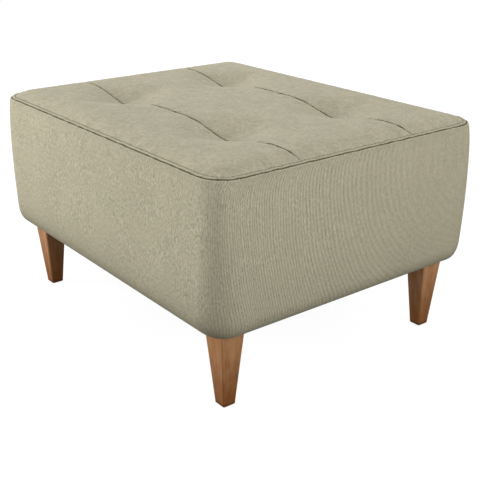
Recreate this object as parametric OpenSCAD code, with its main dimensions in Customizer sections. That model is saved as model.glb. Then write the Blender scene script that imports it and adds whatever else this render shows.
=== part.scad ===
// Upholstered footstool: a low padded box with a tufted top in three sewn panels,
// on four square tapered wooden legs.
// Millimetres. +X runs along the length, -Y is the front, +Z is up, and the origin
// is on the floor under the middle of the stool.

/* [Body] */
// Length of the seam that runs round the top, from end to end
seam_w = 744; // [640:1:860]
// Depth of the seam that runs round the top, from front to back
seam_d = 598; // [520:1:700]
// Height of that seam above the floor
seam_h = 420; // [390:1:470]
// How far the sides swell out past the seam
side_bulge = 9; // [3:0.5:14]
// Radius of the upright corners at the seam
seam_corner_r = 50; // [42:1:56]
// Radius of the upright corners where the sides start to swell under the seam
side_corner_r = 41; // [34:1:48]
// Radius of the upright corners near the floor
base_corner_r = 68; // [62:1:78]
// Radius of the corners of the underside
hem_corner_r = 20; // [16:1:30]
// Height of the soft roll under the sides
roll_h = 36; // [28:1:46]

/* [Top] */
// Rise of the cushion above the seam
crown = 13.6; // [10:0.2:18]
// Flat sewn margin inside the seam
margin_w = 7; // [6:0.5:12]
// Width over which the cushion rises from that margin
edge_roll_w = 54; // [40:1:64]
// Depth of the middle panel, between the two long seams
centre_panel_d = 256; // [220:1:290]
// Depth of the shallow channel along each long seam
channel_depth = 2.5; // [1:0.1:4]
// Width of the channel to each side of its seam
channel_w = 12; // [8:1:24]
// Depth of the sewn fold in each long seam
fold_depth = 1.2; // [0.4:0.1:1.6]
// Width of the fold to each side of its seam
fold_w = 3; // [2:0.5:5]

/* [Tufts] */
// Distance between the two tufts on one seam
tuft_spacing = 342; // [300:1:390]
// Depth of a tuft below the crown
tuft_depth = 21; // [14:0.5:23]
// Reach of a tuft along its seam
tuft_reach_along = 132; // [90:1:140]
// Reach of a tuft to each side of its seam
tuft_reach_across = 116; // [80:1:120]
// Diameter of the tufting twine
twine_dia = 2; // [1.5:0.1:3]
// Diameter of the washer that anchors each twine
washer_dia = 24; // [18:1:32]
// Thickness of that washer
washer_t = 3; // [2:0.5:4]

/* [Cover and padding] */
// Thickness of the cover fabric
fabric_t = 1.5; // [1:0.1:1.8]
// Width of the seam allowance turned in under the top
allowance_w = 7; // [4:0.5:8]
// Width of the hem turned in under the frame
hem_w = 24; // [16:1:26]
// Thickness of the dust cover
dust_t = 0.8; // [0.5:0.1:1.2]
// Distance from the dust cover's edge to the frame's edge
dust_inset = 6; // [4:0.5:10]
// Thickness of the wadding over the top
wadding_t = 30; // [29:0.5:38]
// Thickness of the seat foam
slab_h = 60; // [40:1:80]
// Thickness of the foam on the sides
side_foam_t = 21; // [20:0.5:26]

/* [Frame] */
// Thickness of the board under the foam
deck_t = 12; // [9:0.5:18]
// Thickness of the rails
rail_t = 22; // [18:1:26]
// Height of the rails under the deck
top_rail_h = 44; // [30:1:55]
// Height of the rails at the bottom
low_rail_h = 60; // [40:1:75]
// Side of the square corner posts
post_w = 60; // [56:1:70]
// Thickness of the board skins on the sides
skin_t = 3; // [2:0.5:4]
// Height of the skins' lower edge above the frame's underside
skin_lift = 5; // [4:0.5:10]

/* [Legs] */
// Height of the legs with their glides
leg_h = 149; // [120:1:180]
// Width of a leg at its top
leg_top_w = 49.5; // [44:0.5:52]
// Width of a leg at its foot
leg_foot_w = 25.5; // [24:0.5:34]
// Width of the eased edges of a leg
leg_chamfer = 2; // [1:0.5:3]
// Distance from the frame's edge to a leg's centre
leg_inset = 37.5; // [35:0.5:40]
// Diameter of the leg bolts
bolt_dia = 8; // [6:0.5:10]
// Depth of a bolt in its leg
bolt_in_leg = 40; // [30:1:55]
// Depth of a bolt in its post
bolt_in_post = 28; // [25:1:40]
// Diameter of the threaded inserts
insert_dia = 12; // [11:0.5:14]
// Length of the threaded inserts
insert_len = 20; // [15:1:25]
// Diameter of the floor glides
glide_dia = 18; // [14:0.5:20]
// Thickness of the floor glides
glide_t = 3; // [2.5:0.5:4]
// Depth to which a glide is let into its foot
glide_let = 2; // [1:0.5:2]
// Diameter of the glides' nails
nail_dia = 2.5; // [2:0.1:3.5]
// Length of the glides' nails
nail_len = 14; // [10:1:20]

/* [Clearances] */
// Gap between a soft layer and the cover on it
soft_gap = 0.3; // [0.2:0.05:0.5]
// Gap between the wadding and the top cover
wadding_gap = 0.6; // [0.5:0.05:0.9]
// Gap between the edges of two sewn panels
panel_gap = 0.3; // [0.2:0.05:0.6]
// Gap all round a bolt, insert, nail or twine in its hole
hole_gap = 0.15; // [0.1:0.05:0.3]

/* [Hidden] */

cover_colour = [0.71, 0.69, 0.60];
leg_colour = [0.61, 0.42, 0.29];
pine_colour = [0.86, 0.74, 0.55];
ply_colour = [0.78, 0.64, 0.44];
skin_colour = [0.55, 0.43, 0.31];
foam_colour = [0.93, 0.90, 0.78];
wadding_colour = [0.96, 0.96, 0.94];
dust_colour = [0.12, 0.12, 0.12];
steel_colour = [0.66, 0.67, 0.69];
brass_colour = [0.78, 0.66, 0.38];
glide_colour = [0.16, 0.12, 0.10];
twine_colour = [0.90, 0.87, 0.78];

// Heights, from the floor up
hem_z = leg_h + dust_t;
frame_z = hem_z + fabric_t;
slab_top_z = seam_h + crown - fabric_t - wadding_gap - wadding_t;
deck_top_z = slab_top_z - slab_h;
deck_z = deck_top_z - deck_t;
flange_z = seam_h - fabric_t;

// Offsets in plan, measured outwards from the seam round the top
frame_off = side_bulge - fabric_t - soft_gap - side_foam_t - skin_t;
skin_off = frame_off + skin_t;
roll_w = side_bulge - frame_off;

// The posts are rounded more than the roll under them, and than the foam round them
corner_slack = 4;
post_r = base_corner_r - roll_w + corner_slack;
skin_r = post_r + skin_t;

frame_x = seam_w / 2 + frame_off;
frame_y = seam_d / 2 + frame_off;
leg_x = frame_x - leg_inset;
leg_y = frame_y - leg_inset;
panel_y = centre_panel_d / 2;
tuft_x = tuft_spacing / 2;

hole_fn = 32;
corner_steps = 6;
roll_steps = 5;
lip_r = 3;
lip_steps = 3;

// Powers that shape the curves of the cover, 1 being a straight line
swell_power = 0.6;
corner_power = 1.8;
seam_power = 30;
crown_power = 2.2;
dip_along_power = 1.5;
dip_fade_power = 2.2;
dip_across_power = 1.4;
dip_side_power = 1.8;
// Share of a tuft's reach across that it keeps at the far ends of its pull
least_reach = 0.48;
// Radius at which the wadding's upper face rises from under the seam allowance
rise_r = 8;
// Least radius of a ring's corners
least_r = 2;

// Shares of the side's height at which the cover band has a level
side_levels = [0.94, 0.85, 0.7, 0.5, 0.3];
// Shares of the way from a tuft to the middle, and from a tuft to the edge roll
in_steps = [1, 0.73, 0.44, 0.25, 0.1, 0];
out_steps = [0.14, 0.36, 0.64, 1];
// Shares of the way across the edge roll
edge_steps = [0.45, 0.7, 0.88, 1];
// Shares of the way across a panel, counted from its long seam
panel_steps = [0.1, 0.22, 0.42, 0.72, 1];

function clamp01(v) = min(1, max(0, v));
function reversed(list) = [for (i = [len(list) - 1 : -1 : 0]) list[i]];

// Share of the side's height, 0 at the hem and 1 at the seam
function side_share(z) = clamp01((z - hem_z) / (seam_h - hem_z));
// How far the side stands out past the seam at a height
function side_out(z) = side_bulge * pow(1 - pow(side_share(z), 2), swell_power);
// Radius of the upright corners at a height
function corner_r(z) = side_corner_r
    + (seam_corner_r - side_corner_r) * pow(side_share(z), seam_power)
    + (base_corner_r - side_corner_r) * pow(1 - side_share(z), corner_power);
// How much tighter the corners of the roll get at a height, most of all at the hem
function roll_tighter(z) = (base_corner_r - roll_w - hem_corner_r)
    * (1 - sqrt(1 - pow(clamp01((hem_z + roll_h - z) / roll_h), 2)));

// Points round a rounded rectangle, anticlockwise from the middle of the right end
function ring(hx, hy, r, z) = [
    for (k = [0 : 3], i = [0 : corner_steps])
        let (a = 90 * k + 90 * i / corner_steps,
             sx = k == 0 || k == 3 ? 1 : -1,
             sy = k < 2 ? 1 : -1)
        [sx * (hx - r) + r * cos(a), sy * (hy - r) + r * sin(a), z]
];

// A ring of the body, off being its distance outside the seam
function body_ring(off, z) = ring(seam_w / 2 + off, seam_d / 2 + off,
    max(least_r, corner_r(z) - roll_tighter(z) + off - side_out(z)), z);

// Side profile of the body as [off, z] pairs from the seam down to the underside,
// drawn in by t from the cover's outer face
function side_profile(t, top_z, last_angle) = concat(
    [for (s = side_levels) let (z = hem_z + s * (seam_h - hem_z)) if (z < top_z - 1)
        [side_out(z) - t, z]],
    [for (i = [0 : roll_steps]) let (a = last_angle * i / roll_steps)
        [frame_off + (side_out(hem_z + roll_h) - frame_off - t) * cos(a),
         hem_z + roll_h - (roll_h - t) * sin(a)]]
);

// Rounded lip where the band turns in under the top, from the flange outwards
function lip_profile(t) =
    let (z0 = flange_z - lip_r, off0 = side_out(z0) - lip_r)
    [for (i = [lip_steps : -1 : 0]) let (a = 90 * i / lip_steps)
        [off0 + (lip_r - t) * cos(a), z0 + (lip_r - t) * sin(a)]];

// Distance of a point inside the seam
function edge_dist(x, y) =
    let (qx = abs(x) - (seam_w / 2 - seam_corner_r),
         qy = abs(y) - (seam_d / 2 - seam_corner_r))
    seam_corner_r - (qx > 0 && qy > 0 ? norm([qx, qy]) : max(qx, qy));
// Share of the crown reached at a distance inside the seam
function crown_share(d) = 1 - pow(1 - clamp01((d - margin_w) / edge_roll_w), crown_power);
// Pull of the tufts, 1 at a tuft and 0 out of its reach
function tuft_pull(x, y) =
    let (along = clamp01(abs(abs(x) - tuft_x) / tuft_reach_along),
         pull = pow(1 - pow(along, dip_along_power), dip_fade_power),
         reach = tuft_reach_across * (least_reach + (1 - least_reach) * pull),
         across = clamp01(abs(abs(y) - panel_y) / reach))
    pull * pow(1 - pow(across, dip_across_power), dip_side_power);
// Nearness to a long seam, 1 on it and 0 at a distance w
function seam_share(y, w) = clamp01(1 - abs(abs(y) - panel_y) / w);
// Height of the cover's upper face
function cover_z(x, y) = seam_h - tuft_depth * tuft_pull(x, y)
    + crown_share(edge_dist(x, y))
    * (crown - channel_depth * pow(seam_share(y, channel_w), 2)
       - fold_depth * seam_share(y, fold_w));
// Height of the wadding's upper face, which also passes under the seam allowance
function wadding_z(x, y) = min(
    cover_z(x, y) - fabric_t - wadding_gap,
    flange_z - fabric_t - wadding_gap
        + pow(max(0, edge_dist(x, y) - allowance_w - 1), 2) / (2 * rise_r));

// Half length of the seam's outline at a depth y, drawn in by e
function outline_x(y, e) =
    let (r = seam_corner_r - e, q = abs(y) - (seam_d / 2 - seam_corner_r))
    seam_w / 2 - seam_corner_r + (q <= 0 ? r : sqrt(max(0, r * r - q * q)));
// Places along X at which a row of the top has points
function row_x(y, e) =
    let (xi = seam_w / 2 - 2 * seam_corner_r,
         half = concat([for (s = in_steps) tuft_x * (1 - s)],
                       [for (s = out_steps) tuft_x + (xi - tuft_x) * s],
                       [for (s = edge_steps) xi + (outline_x(y, e) - xi) * s]))
    concat([for (i = [len(half) - 1 : -1 : 1]) -half[i]], half);
// Depths at which an outer panel has rows, from its long seam to the edge
function outer_rows(first, e) =
    let (yc = seam_d / 2 - seam_corner_r)
    concat(first, [for (s = panel_steps) panel_y + (yc - panel_y) * s],
        [for (i = [1 : 4]) yc + (seam_corner_r - e) * sin(90 * i / 4)]);
// Depths at which half of the middle panel has rows, from its seam to the middle
function inner_rows(first) = concat(first, [for (s = panel_steps) panel_y * (1 - s)]);

// Triangles of a grid of points, n rows of m, seen from above where up is true
function grid_faces(n, m, start, up) = [
    for (i = [0 : n - 2], j = [0 : m - 2])
        let (a = start + i * m + j, b = a + 1, c = a + m, d = c + 1)
        each up ? [[a, c, b], [b, c, d]] : [[a, b, c], [b, d, c]]
];
// Indices round the edge of a grid, anticlockwise seen from above
function grid_edge(n, m) = concat(
    [for (j = [0 : m - 1]) j],
    [for (i = [1 : n - 1]) i * m + m - 1],
    [for (j = [m - 2 : -1 : 0]) (n - 1) * m + j],
    [for (i = [n - 2 : -1 : 1]) i * m]);

// A closed solid from rings of equal length, the last joined to the first
module ring_solid(rings) {
    n = len(rings);
    m = len(rings[0]);
    polyhedron(points = [for (r = rings) each r], faces = [
        for (i = [0 : n - 1], j = [0 : m - 1])
            let (a = i * m + j, b = i * m + (j + 1) % m,
                 c = (i + 1) % n * m + j, d = (i + 1) % n * m + (j + 1) % m)
            each [[a, b, c], [b, d, c]]
    ]);
}

// One sewn panel of the top: rows run from front to back
module top_panel(rows) {
    n = len(rows);
    xs = row_x(rows[0], 0);
    m = len(xs);
    upper = [for (y = rows, x = row_x(y, 0)) [x, y, cover_z(x, y)]];
    lower = [for (p = upper) p - [0, 0, fabric_t]];
    edge = grid_edge(n, m);
    polyhedron(points = concat(upper, lower), faces = concat(
        grid_faces(n, m, 0, true), grid_faces(n, m, n * m, false),
        [for (k = [0 : len(edge) - 1])
            let (a = edge[k], b = edge[(k + 1) % len(edge)])
            each [[a, b, b + n * m], [a, b + n * m, a + n * m]]]
    ));
}

module cover_band() {
    outer = concat([[-allowance_w, flange_z]], lip_profile(0), side_profile(0, seam_h, 90),
        [[frame_off - hem_w, hem_z]]);
    inner = concat([[-allowance_w, flange_z - fabric_t]], lip_profile(fabric_t),
        side_profile(fabric_t, seam_h, 90), [[frame_off - hem_w, hem_z + fabric_t]]);
    color(cover_colour) ring_solid([for (p = concat(reversed(outer), inner)) body_ring(p[0], p[1])]);
}

module cover_top_front() {
    rows = outer_rows([panel_y + panel_gap / 2, panel_y + fold_w], 0);
    color(cover_colour) top_panel([for (y = reversed(rows)) -y]);
}

module cover_top_centre() {
    half = inner_rows([panel_y - panel_gap / 2, panel_y - fold_w]);
    color(cover_colour) top_panel(concat([for (y = half) -y],
        [for (i = [len(half) - 2 : -1 : 0]) half[i]]));
}

module cover_top_back() {
    color(cover_colour) top_panel(outer_rows([panel_y + panel_gap / 2, panel_y + fold_w], 0));
}

module dust_cover() {
    off = frame_off - dust_inset;
    color(dust_colour) difference() {
        translate([0, 0, leg_h]) rounded_plate(off, hem_corner_r - dust_inset, dust_t);
        at_legs() translate([0, 0, leg_h - 1])
            cylinder(d = bolt_dia + 2 * hole_gap, h = dust_t + 2, $fn = hole_fn);
    }
}

module top_wadding() {
    // Its rim stands clear of the band's lip and of the seam allowance
    rim_in = fabric_t + wadding_gap + lip_r / 3;
    rim_z = flange_z - fabric_t - lip_r / 2;
    foot_in = fabric_t + soft_gap - side_out(slab_top_z);
    outer = outer_rows([panel_y], rim_in);
    half = inner_rows([]);
    rows = concat([for (y = reversed(outer)) -y], [for (y = half) -y],
        [for (i = [len(half) - 2 : -1 : 0]) half[i]], outer);
    n = len(rows);
    m = len(row_x(0, rim_in));
    edge = grid_edge(n, m);
    flat = [for (y = rows, x = row_x(y, rim_in)) [x, y]];
    top = [for (i = [0 : n - 1], j = [0 : m - 1]) let (p = flat[i * m + j])
        [p[0], p[1], i == 0 || j == 0 || i == n - 1 || j == m - 1 ? rim_z : wadding_z(p[0], p[1])]];
    foot = [for (k = edge) let (p = flat[k], q = p + (rim_in - foot_in) * outward(p))
        [q[0], q[1], slab_top_z]];
    color(wadding_colour) difference() {
        polyhedron(points = concat(top, foot, [[0, 0, slab_top_z]]), faces = concat(
            grid_faces(n, m, 0, true),
            [for (k = [0 : len(edge) - 1])
                let (k1 = (k + 1) % len(edge), a = edge[k], b = edge[k1], c = n * m + k, d = n * m + k1)
                each [[a, b, d], [a, d, c], [c, d, n * m + len(edge)]]]
        ));
        at_tufts() twine_hole(slab_top_z, wadding_t);
    }
}
// Outward direction of the seam's outline near a point
function outward(p) =
    let (qx = abs(p[0]) - (seam_w / 2 - seam_corner_r),
         qy = abs(p[1]) - (seam_d / 2 - seam_corner_r))
    qx > 0 && qy > 0 ? [sign(p[0]) * qx, sign(p[1]) * qy] / norm([qx, qy])
    : qx > qy ? [sign(p[0]), 0] : [0, sign(p[1])];

module foam_slab() {
    color(foam_colour) difference() {
        translate([0, 0, deck_top_z]) rounded_plate(skin_off, skin_r, slab_h);
        at_tufts() twine_hole(deck_top_z, slab_h);
    }
}

// Foam on one side, mitred at both ends: first is the ring point where it starts
module side_foam(first) {
    t = fabric_t + 2 * soft_gap;
    // The foam ends where the roll meets the outer face of the skin
    end_angle = acos(skin_t / (side_out(hem_z + roll_h) - frame_off - t));
    outer = concat([[side_out(slab_top_z) - t, slab_top_z]], side_profile(t, slab_top_z, end_angle));
    foot_z = outer[len(outer) - 1][1];
    back = [slab_top_z, foot_z + (slab_top_z - foot_z) / 2];
    m = 4 * (corner_steps + 1);
    span = corner_steps + 2;
    inner_ring = ring(seam_w / 2 + skin_off, seam_d / 2 + skin_off, skin_r - corner_slack, 0);
    strips = concat(
        [for (p = outer) let (r = body_ring(p[0], p[1])) [for (j = [0 : span - 1]) r[(first + j) % m]]],
        [for (z = reversed(back))
            [for (j = [0 : span - 1]) let (q = inner_ring[(first + j) % m]) [q[0], q[1], z]]]
    );
    n = len(strips);
    color(foam_colour) polyhedron(points = [for (s = strips) each s], faces = concat(
        [for (i = [0 : n - 1], j = [0 : span - 2])
            let (a = i * span + j, b = a + 1, c = (i + 1) % n * span + j, d = c + 1)
            each [[a, c, b], [b, c, d]]],
        [for (i = [1 : n - 2]) each [[0, (i + 1) * span, i * span],
            [span - 1, i * span + span - 1, (i + 1) * span + span - 1]]]
    ));
}
module side_foam_back() { side_foam(corner_steps / 2); }
module side_foam_left() { side_foam(corner_steps / 2 + corner_steps + 1); }
module side_foam_front() { side_foam(corner_steps / 2 + 2 * (corner_steps + 1)); }
module side_foam_right() { side_foam(corner_steps / 2 + 3 * (corner_steps + 1)); }

// A flat plate in the outline of the body, off outside the seam
module rounded_plate(off, r, t) {
    x = seam_w / 2 + off - r;
    y = seam_d / 2 + off - r;
    linear_extrude(t) union() {
        square([2 * x, 2 * (y + r)], center = true);
        square([2 * (x + r), 2 * y], center = true);
        for (sx = [-1, 1], sy = [-1, 1]) translate([sx * x, sy * y]) circle(r, $fn = 64);
    }
}

module at_legs() { for (sx = [-1, 1], sy = [-1, 1]) translate([sx * leg_x, sy * leg_y]) children(); }
module at_tufts() { for (sx = [-1, 1], sy = [-1, 1]) translate([sx * tuft_x, sy * panel_y]) children(); }
module twine_hole(z, t) {
    translate([0, 0, z - 1]) cylinder(d = twine_dia + 2 * hole_gap, h = t + 2, $fn = hole_fn);
}

module deck_panel() {
    color(ply_colour) difference() {
        translate([0, 0, deck_z]) rounded_plate(frame_off, post_r, deck_t);
        at_tufts() twine_hole(deck_z, deck_t);
    }
}
module deck_bearer() {
    color(pine_colour) translate([-rail_t / 2, -(frame_y - rail_t), deck_z - top_rail_h])
        cube([rail_t, 2 * (frame_y - rail_t), top_rail_h]);
}

// A rail between two posts: long ones lie along X, side is -1 or 1
module long_rail(side, z, h) {
    color(pine_colour) translate([-(frame_x - post_w), side > 0 ? frame_y - rail_t : -frame_y, z])
        cube([2 * (frame_x - post_w), rail_t, h]);
}
module short_rail(side, z, h) {
    color(pine_colour) translate([side > 0 ? frame_x - rail_t : -frame_x, -(frame_y - post_w), z])
        cube([rail_t, 2 * (frame_y - post_w), h]);
}
module top_rail_front() { long_rail(-1, deck_z - top_rail_h, top_rail_h); }
module top_rail_back() { long_rail(1, deck_z - top_rail_h, top_rail_h); }
module top_rail_left() { short_rail(-1, deck_z - top_rail_h, top_rail_h); }
module top_rail_right() { short_rail(1, deck_z - top_rail_h, top_rail_h); }
module low_rail_front() { long_rail(-1, frame_z, low_rail_h); }
module low_rail_back() { long_rail(1, frame_z, low_rail_h); }
module low_rail_left() { short_rail(-1, frame_z, low_rail_h); }
module low_rail_right() { short_rail(1, frame_z, low_rail_h); }

// A corner post with its outer edge rounded, bored for the leg's insert and bolt
module post(sx, sy) {
    insert_d = insert_dia + 2 * hole_gap;
    bolt_d = bolt_dia + 2 * hole_gap;
    color(pine_colour) difference() {
        translate([0, 0, frame_z]) linear_extrude(deck_z - frame_z) union() {
            translate([sx * (frame_x - post_w / 2 - post_r / 2), sy * (frame_y - post_w / 2)])
                square([post_w - post_r, post_w], center = true);
            translate([sx * (frame_x - post_w / 2), sy * (frame_y - post_w / 2 - post_r / 2)])
                square([post_w, post_w - post_r], center = true);
            translate([sx * (frame_x - post_r), sy * (frame_y - post_r)]) intersection() {
                circle(post_r, $fn = 64);
                translate([sx * post_r / 2, sy * post_r / 2]) square(post_r, center = true);
            }
        }
        translate([sx * leg_x, sy * leg_y, frame_z - 1])
            cylinder(d = insert_d, h = insert_len + 1, $fn = hole_fn);
        translate([sx * leg_x, sy * leg_y, frame_z - 1])
            cylinder(d = bolt_d, h = bolt_in_post + 3, $fn = hole_fn);
    }
}
module post_front_left() { post(-1, -1); }
module post_front_right() { post(1, -1); }
module post_back_left() { post(-1, 1); }
module post_back_right() { post(1, 1); }

// Board skins that close the sides between the posts' rounded edges
module long_skin(side) {
    z0 = frame_z + skin_lift;
    color(skin_colour) translate([-(frame_x - post_r), side > 0 ? frame_y : -frame_y - skin_t, z0])
        cube([2 * (frame_x - post_r), skin_t, deck_top_z - z0]);
}
module short_skin(side) {
    z0 = frame_z + skin_lift;
    color(skin_colour) translate([side > 0 ? frame_x : -frame_x - skin_t, -(frame_y - post_r), z0])
        cube([skin_t, 2 * (frame_y - post_r), deck_top_z - z0]);
}
module skin_front() { long_skin(-1); }
module skin_back() { long_skin(1); }
module skin_left() { short_skin(-1); }
module skin_right() { short_skin(1); }

// Corners of a square of width w with its corners cut by c, at height z
function cut_square(w, c, z) = [
    for (k = [0 : 3], s = [-1, 1])
        let (p = [w / 2, s * (w / 2 - c)], a = 90 * k)
        [p[0] * cos(a) - p[1] * sin(a), p[0] * sin(a) + p[1] * cos(a), z]
];
// A solid through cut squares, from the lowest up
module tapered_block(sections) {
    n = len(sections);
    polyhedron(points = [for (s = sections) each s], faces = concat(
        [[for (j = [0 : 7]) j]],
        [for (i = [0 : n - 2], j = [0 : 7])
            let (a = i * 8 + j, b = i * 8 + (j + 1) % 8) [a, a + 8, b + 8, b]],
        [[for (j = [7 : -1 : 0]) (n - 1) * 8 + j]]
    ));
}
module leg(sx, sy) {
    // The foot is eased less than the long edges
    foot_ease = 0.6;
    foot_chamfer = leg_chamfer * foot_ease;
    foot_z = glide_t - glide_let;
    color(leg_colour) translate([sx * leg_x, sy * leg_y, 0]) difference() {
        tapered_block([
            cut_square(leg_foot_w - 2 * foot_chamfer, leg_chamfer, foot_z),
            cut_square(leg_foot_w, leg_chamfer, foot_z + foot_chamfer),
            cut_square(leg_top_w, leg_chamfer, leg_h)
        ]);
        translate([0, 0, leg_h - bolt_in_leg - 1])
            cylinder(d = bolt_dia + 2 * hole_gap, h = bolt_in_leg + 2, $fn = hole_fn);
        translate([0, 0, glide_t - 1])
            cylinder(d = nail_dia + 2 * hole_gap, h = nail_len + 2, $fn = hole_fn);
        translate([0, 0, foot_z - 1])
            cylinder(d = glide_dia + 2 * hole_gap, h = glide_let + 1, $fn = 48);
    }
}
module leg_front_left() { leg(-1, -1); }
module leg_front_right() { leg(1, -1); }
module leg_back_left() { leg(-1, 1); }
module leg_back_right() { leg(1, 1); }

// Hanger bolts from the legs up into the inserts
module leg_bolts() {
    color(steel_colour) at_legs() translate([0, 0, leg_h - bolt_in_leg])
        cylinder(d = bolt_dia, h = bolt_in_leg + frame_z - leg_h + bolt_in_post, $fn = hole_fn);
}
module leg_inserts() {
    color(brass_colour) at_legs() translate([0, 0, frame_z]) difference() {
        cylinder(d = insert_dia, h = insert_len, $fn = hole_fn);
        translate([0, 0, -1]) cylinder(d = bolt_dia + 2 * hole_gap, h = insert_len + 2, $fn = hole_fn);
    }
}
// Nail-on glides, let into the feet
module leg_glides() {
    edge = glide_t / 3;
    color(glide_colour) at_legs() rotate_extrude($fn = 48) polygon([
        [0, 0], [glide_dia / 2 - edge, 0], [glide_dia / 2, edge], [glide_dia / 2, glide_t],
        [nail_dia / 2, glide_t], [nail_dia / 2, glide_t + nail_len], [0, glide_t + nail_len]
    ]);
}

// Tufting twine from a knot under the washer up to the seam of the top
module tuft_twines() {
    top_z = seam_h + crown - channel_depth - fold_depth - tuft_depth - fabric_t;
    low_z = deck_z - washer_t;
    color(twine_colour) at_tufts() rotate_extrude($fn = hole_fn) polygon([
        [0, low_z - 2 * twine_dia], [1.5 * twine_dia, low_z - 2 * twine_dia], [1.5 * twine_dia, low_z],
        [twine_dia / 2, low_z], [twine_dia / 2, top_z], [0, top_z]
    ]);
}
module tuft_washers() {
    color(dust_colour) at_tufts() translate([0, 0, deck_z - washer_t]) difference() {
        cylinder(d = washer_dia, h = washer_t, $fn = 48);
        twine_hole(0, washer_t);
    }
}

cover_band();
cover_top_front();
cover_top_centre();
cover_top_back();
dust_cover();
top_wadding();
foam_slab();
side_foam_front();
side_foam_back();
side_foam_left();
side_foam_right();
deck_panel();
deck_bearer();
top_rail_front();
top_rail_back();
top_rail_left();
top_rail_right();
low_rail_front();
low_rail_back();
low_rail_left();
low_rail_right();
post_front_left();
post_front_right();
post_back_left();
post_back_right();
skin_front();
skin_back();
skin_left();
skin_right();
leg_front_left();
leg_front_right();
leg_back_left();
leg_back_right();
leg_bolts();
leg_inserts();
leg_glides();
tuft_twines();
tuft_washers();
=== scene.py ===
"""Looks of an upholstered footstool: cover, stitching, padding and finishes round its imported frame.

Lengths are in metres. +X runs along the length, -Y is the front, +Z is up, and the origin is on the
floor under the middle of the stool. A grid of points goes by rows, columns and axes.
"""

import logging
import math
from abc import ABC, abstractmethod
from collections.abc import Callable
from dataclasses import dataclass
from enum import Enum
from functools import lru_cache

import bmesh
import bpy
import numpy as np
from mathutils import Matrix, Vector


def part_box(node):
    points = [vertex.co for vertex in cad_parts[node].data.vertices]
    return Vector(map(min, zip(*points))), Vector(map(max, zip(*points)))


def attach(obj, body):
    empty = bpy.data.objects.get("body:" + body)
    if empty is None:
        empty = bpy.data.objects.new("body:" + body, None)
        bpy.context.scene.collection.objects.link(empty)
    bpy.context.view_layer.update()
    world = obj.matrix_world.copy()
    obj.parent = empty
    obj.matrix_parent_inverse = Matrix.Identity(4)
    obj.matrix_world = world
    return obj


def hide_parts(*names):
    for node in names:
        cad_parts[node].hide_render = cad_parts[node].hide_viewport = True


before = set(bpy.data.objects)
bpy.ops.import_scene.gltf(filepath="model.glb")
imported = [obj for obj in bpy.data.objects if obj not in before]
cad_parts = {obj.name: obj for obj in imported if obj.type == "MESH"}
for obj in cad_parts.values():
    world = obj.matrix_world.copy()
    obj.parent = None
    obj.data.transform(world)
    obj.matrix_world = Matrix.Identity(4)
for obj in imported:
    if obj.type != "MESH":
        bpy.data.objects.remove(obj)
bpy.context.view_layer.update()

LOG = logging.getLogger("footstool")
MM = 0.001
TURN = 2 * math.pi
TINY = 1e-9
WELD = 0.004 * MM
STITCH_IN = 7.0 * MM
Colour = tuple[float, float, float]
Array = np.ndarray


def operator(operation: str, swapped: bool = False) -> Callable:
    """Makes the method behind one of a signal's operators.

    Args:
        operation: The Math node's operation.
        swapped: Whether the signal stands on the right.

    Returns:
        The method.
    """

    def combine(signal: "Signal", other: "Signal | float") -> "Signal":
        """The Math node's result."""
        return signal.graph.math(operation, *((other, signal) if swapped else (signal, other)))

    return combine


class Signal:
    """One output socket of a material's tree, which Python's arithmetic combines through Math nodes."""

    __add__, __radd__ = operator("ADD"), operator("ADD", True)
    __sub__, __rsub__ = operator("SUBTRACT"), operator("SUBTRACT", True)
    __mul__, __rmul__ = operator("MULTIPLY"), operator("MULTIPLY", True)

    def __init__(self, graph: "Graph", socket: bpy.types.NodeSocket) -> None:
        """Keeps the tree and the socket."""
        self.graph, self.socket = graph, socket

    def __abs__(self) -> "Signal":
        """The number without its sign."""
        return self.graph.math("ABSOLUTE", self)

    def sine(self) -> "Signal":
        """Sine of an angle in radians."""
        return self.graph.math("SINE", self)

    def stripes(self) -> "Signal":
        """Sine of an angle in radians, brought to run from 0 to 1."""
        return self.sine() * 0.5 + 0.5

    def limited(self, low: float, high: float) -> "Signal":
        """The part between two levels, stretched to run from 0 to 1 with soft ends."""
        inputs = {"Value": self, "From Min": low, "From Max": high}
        return self.graph.node("MapRange", inputs, interpolation_type="SMOOTHSTEP")


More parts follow.
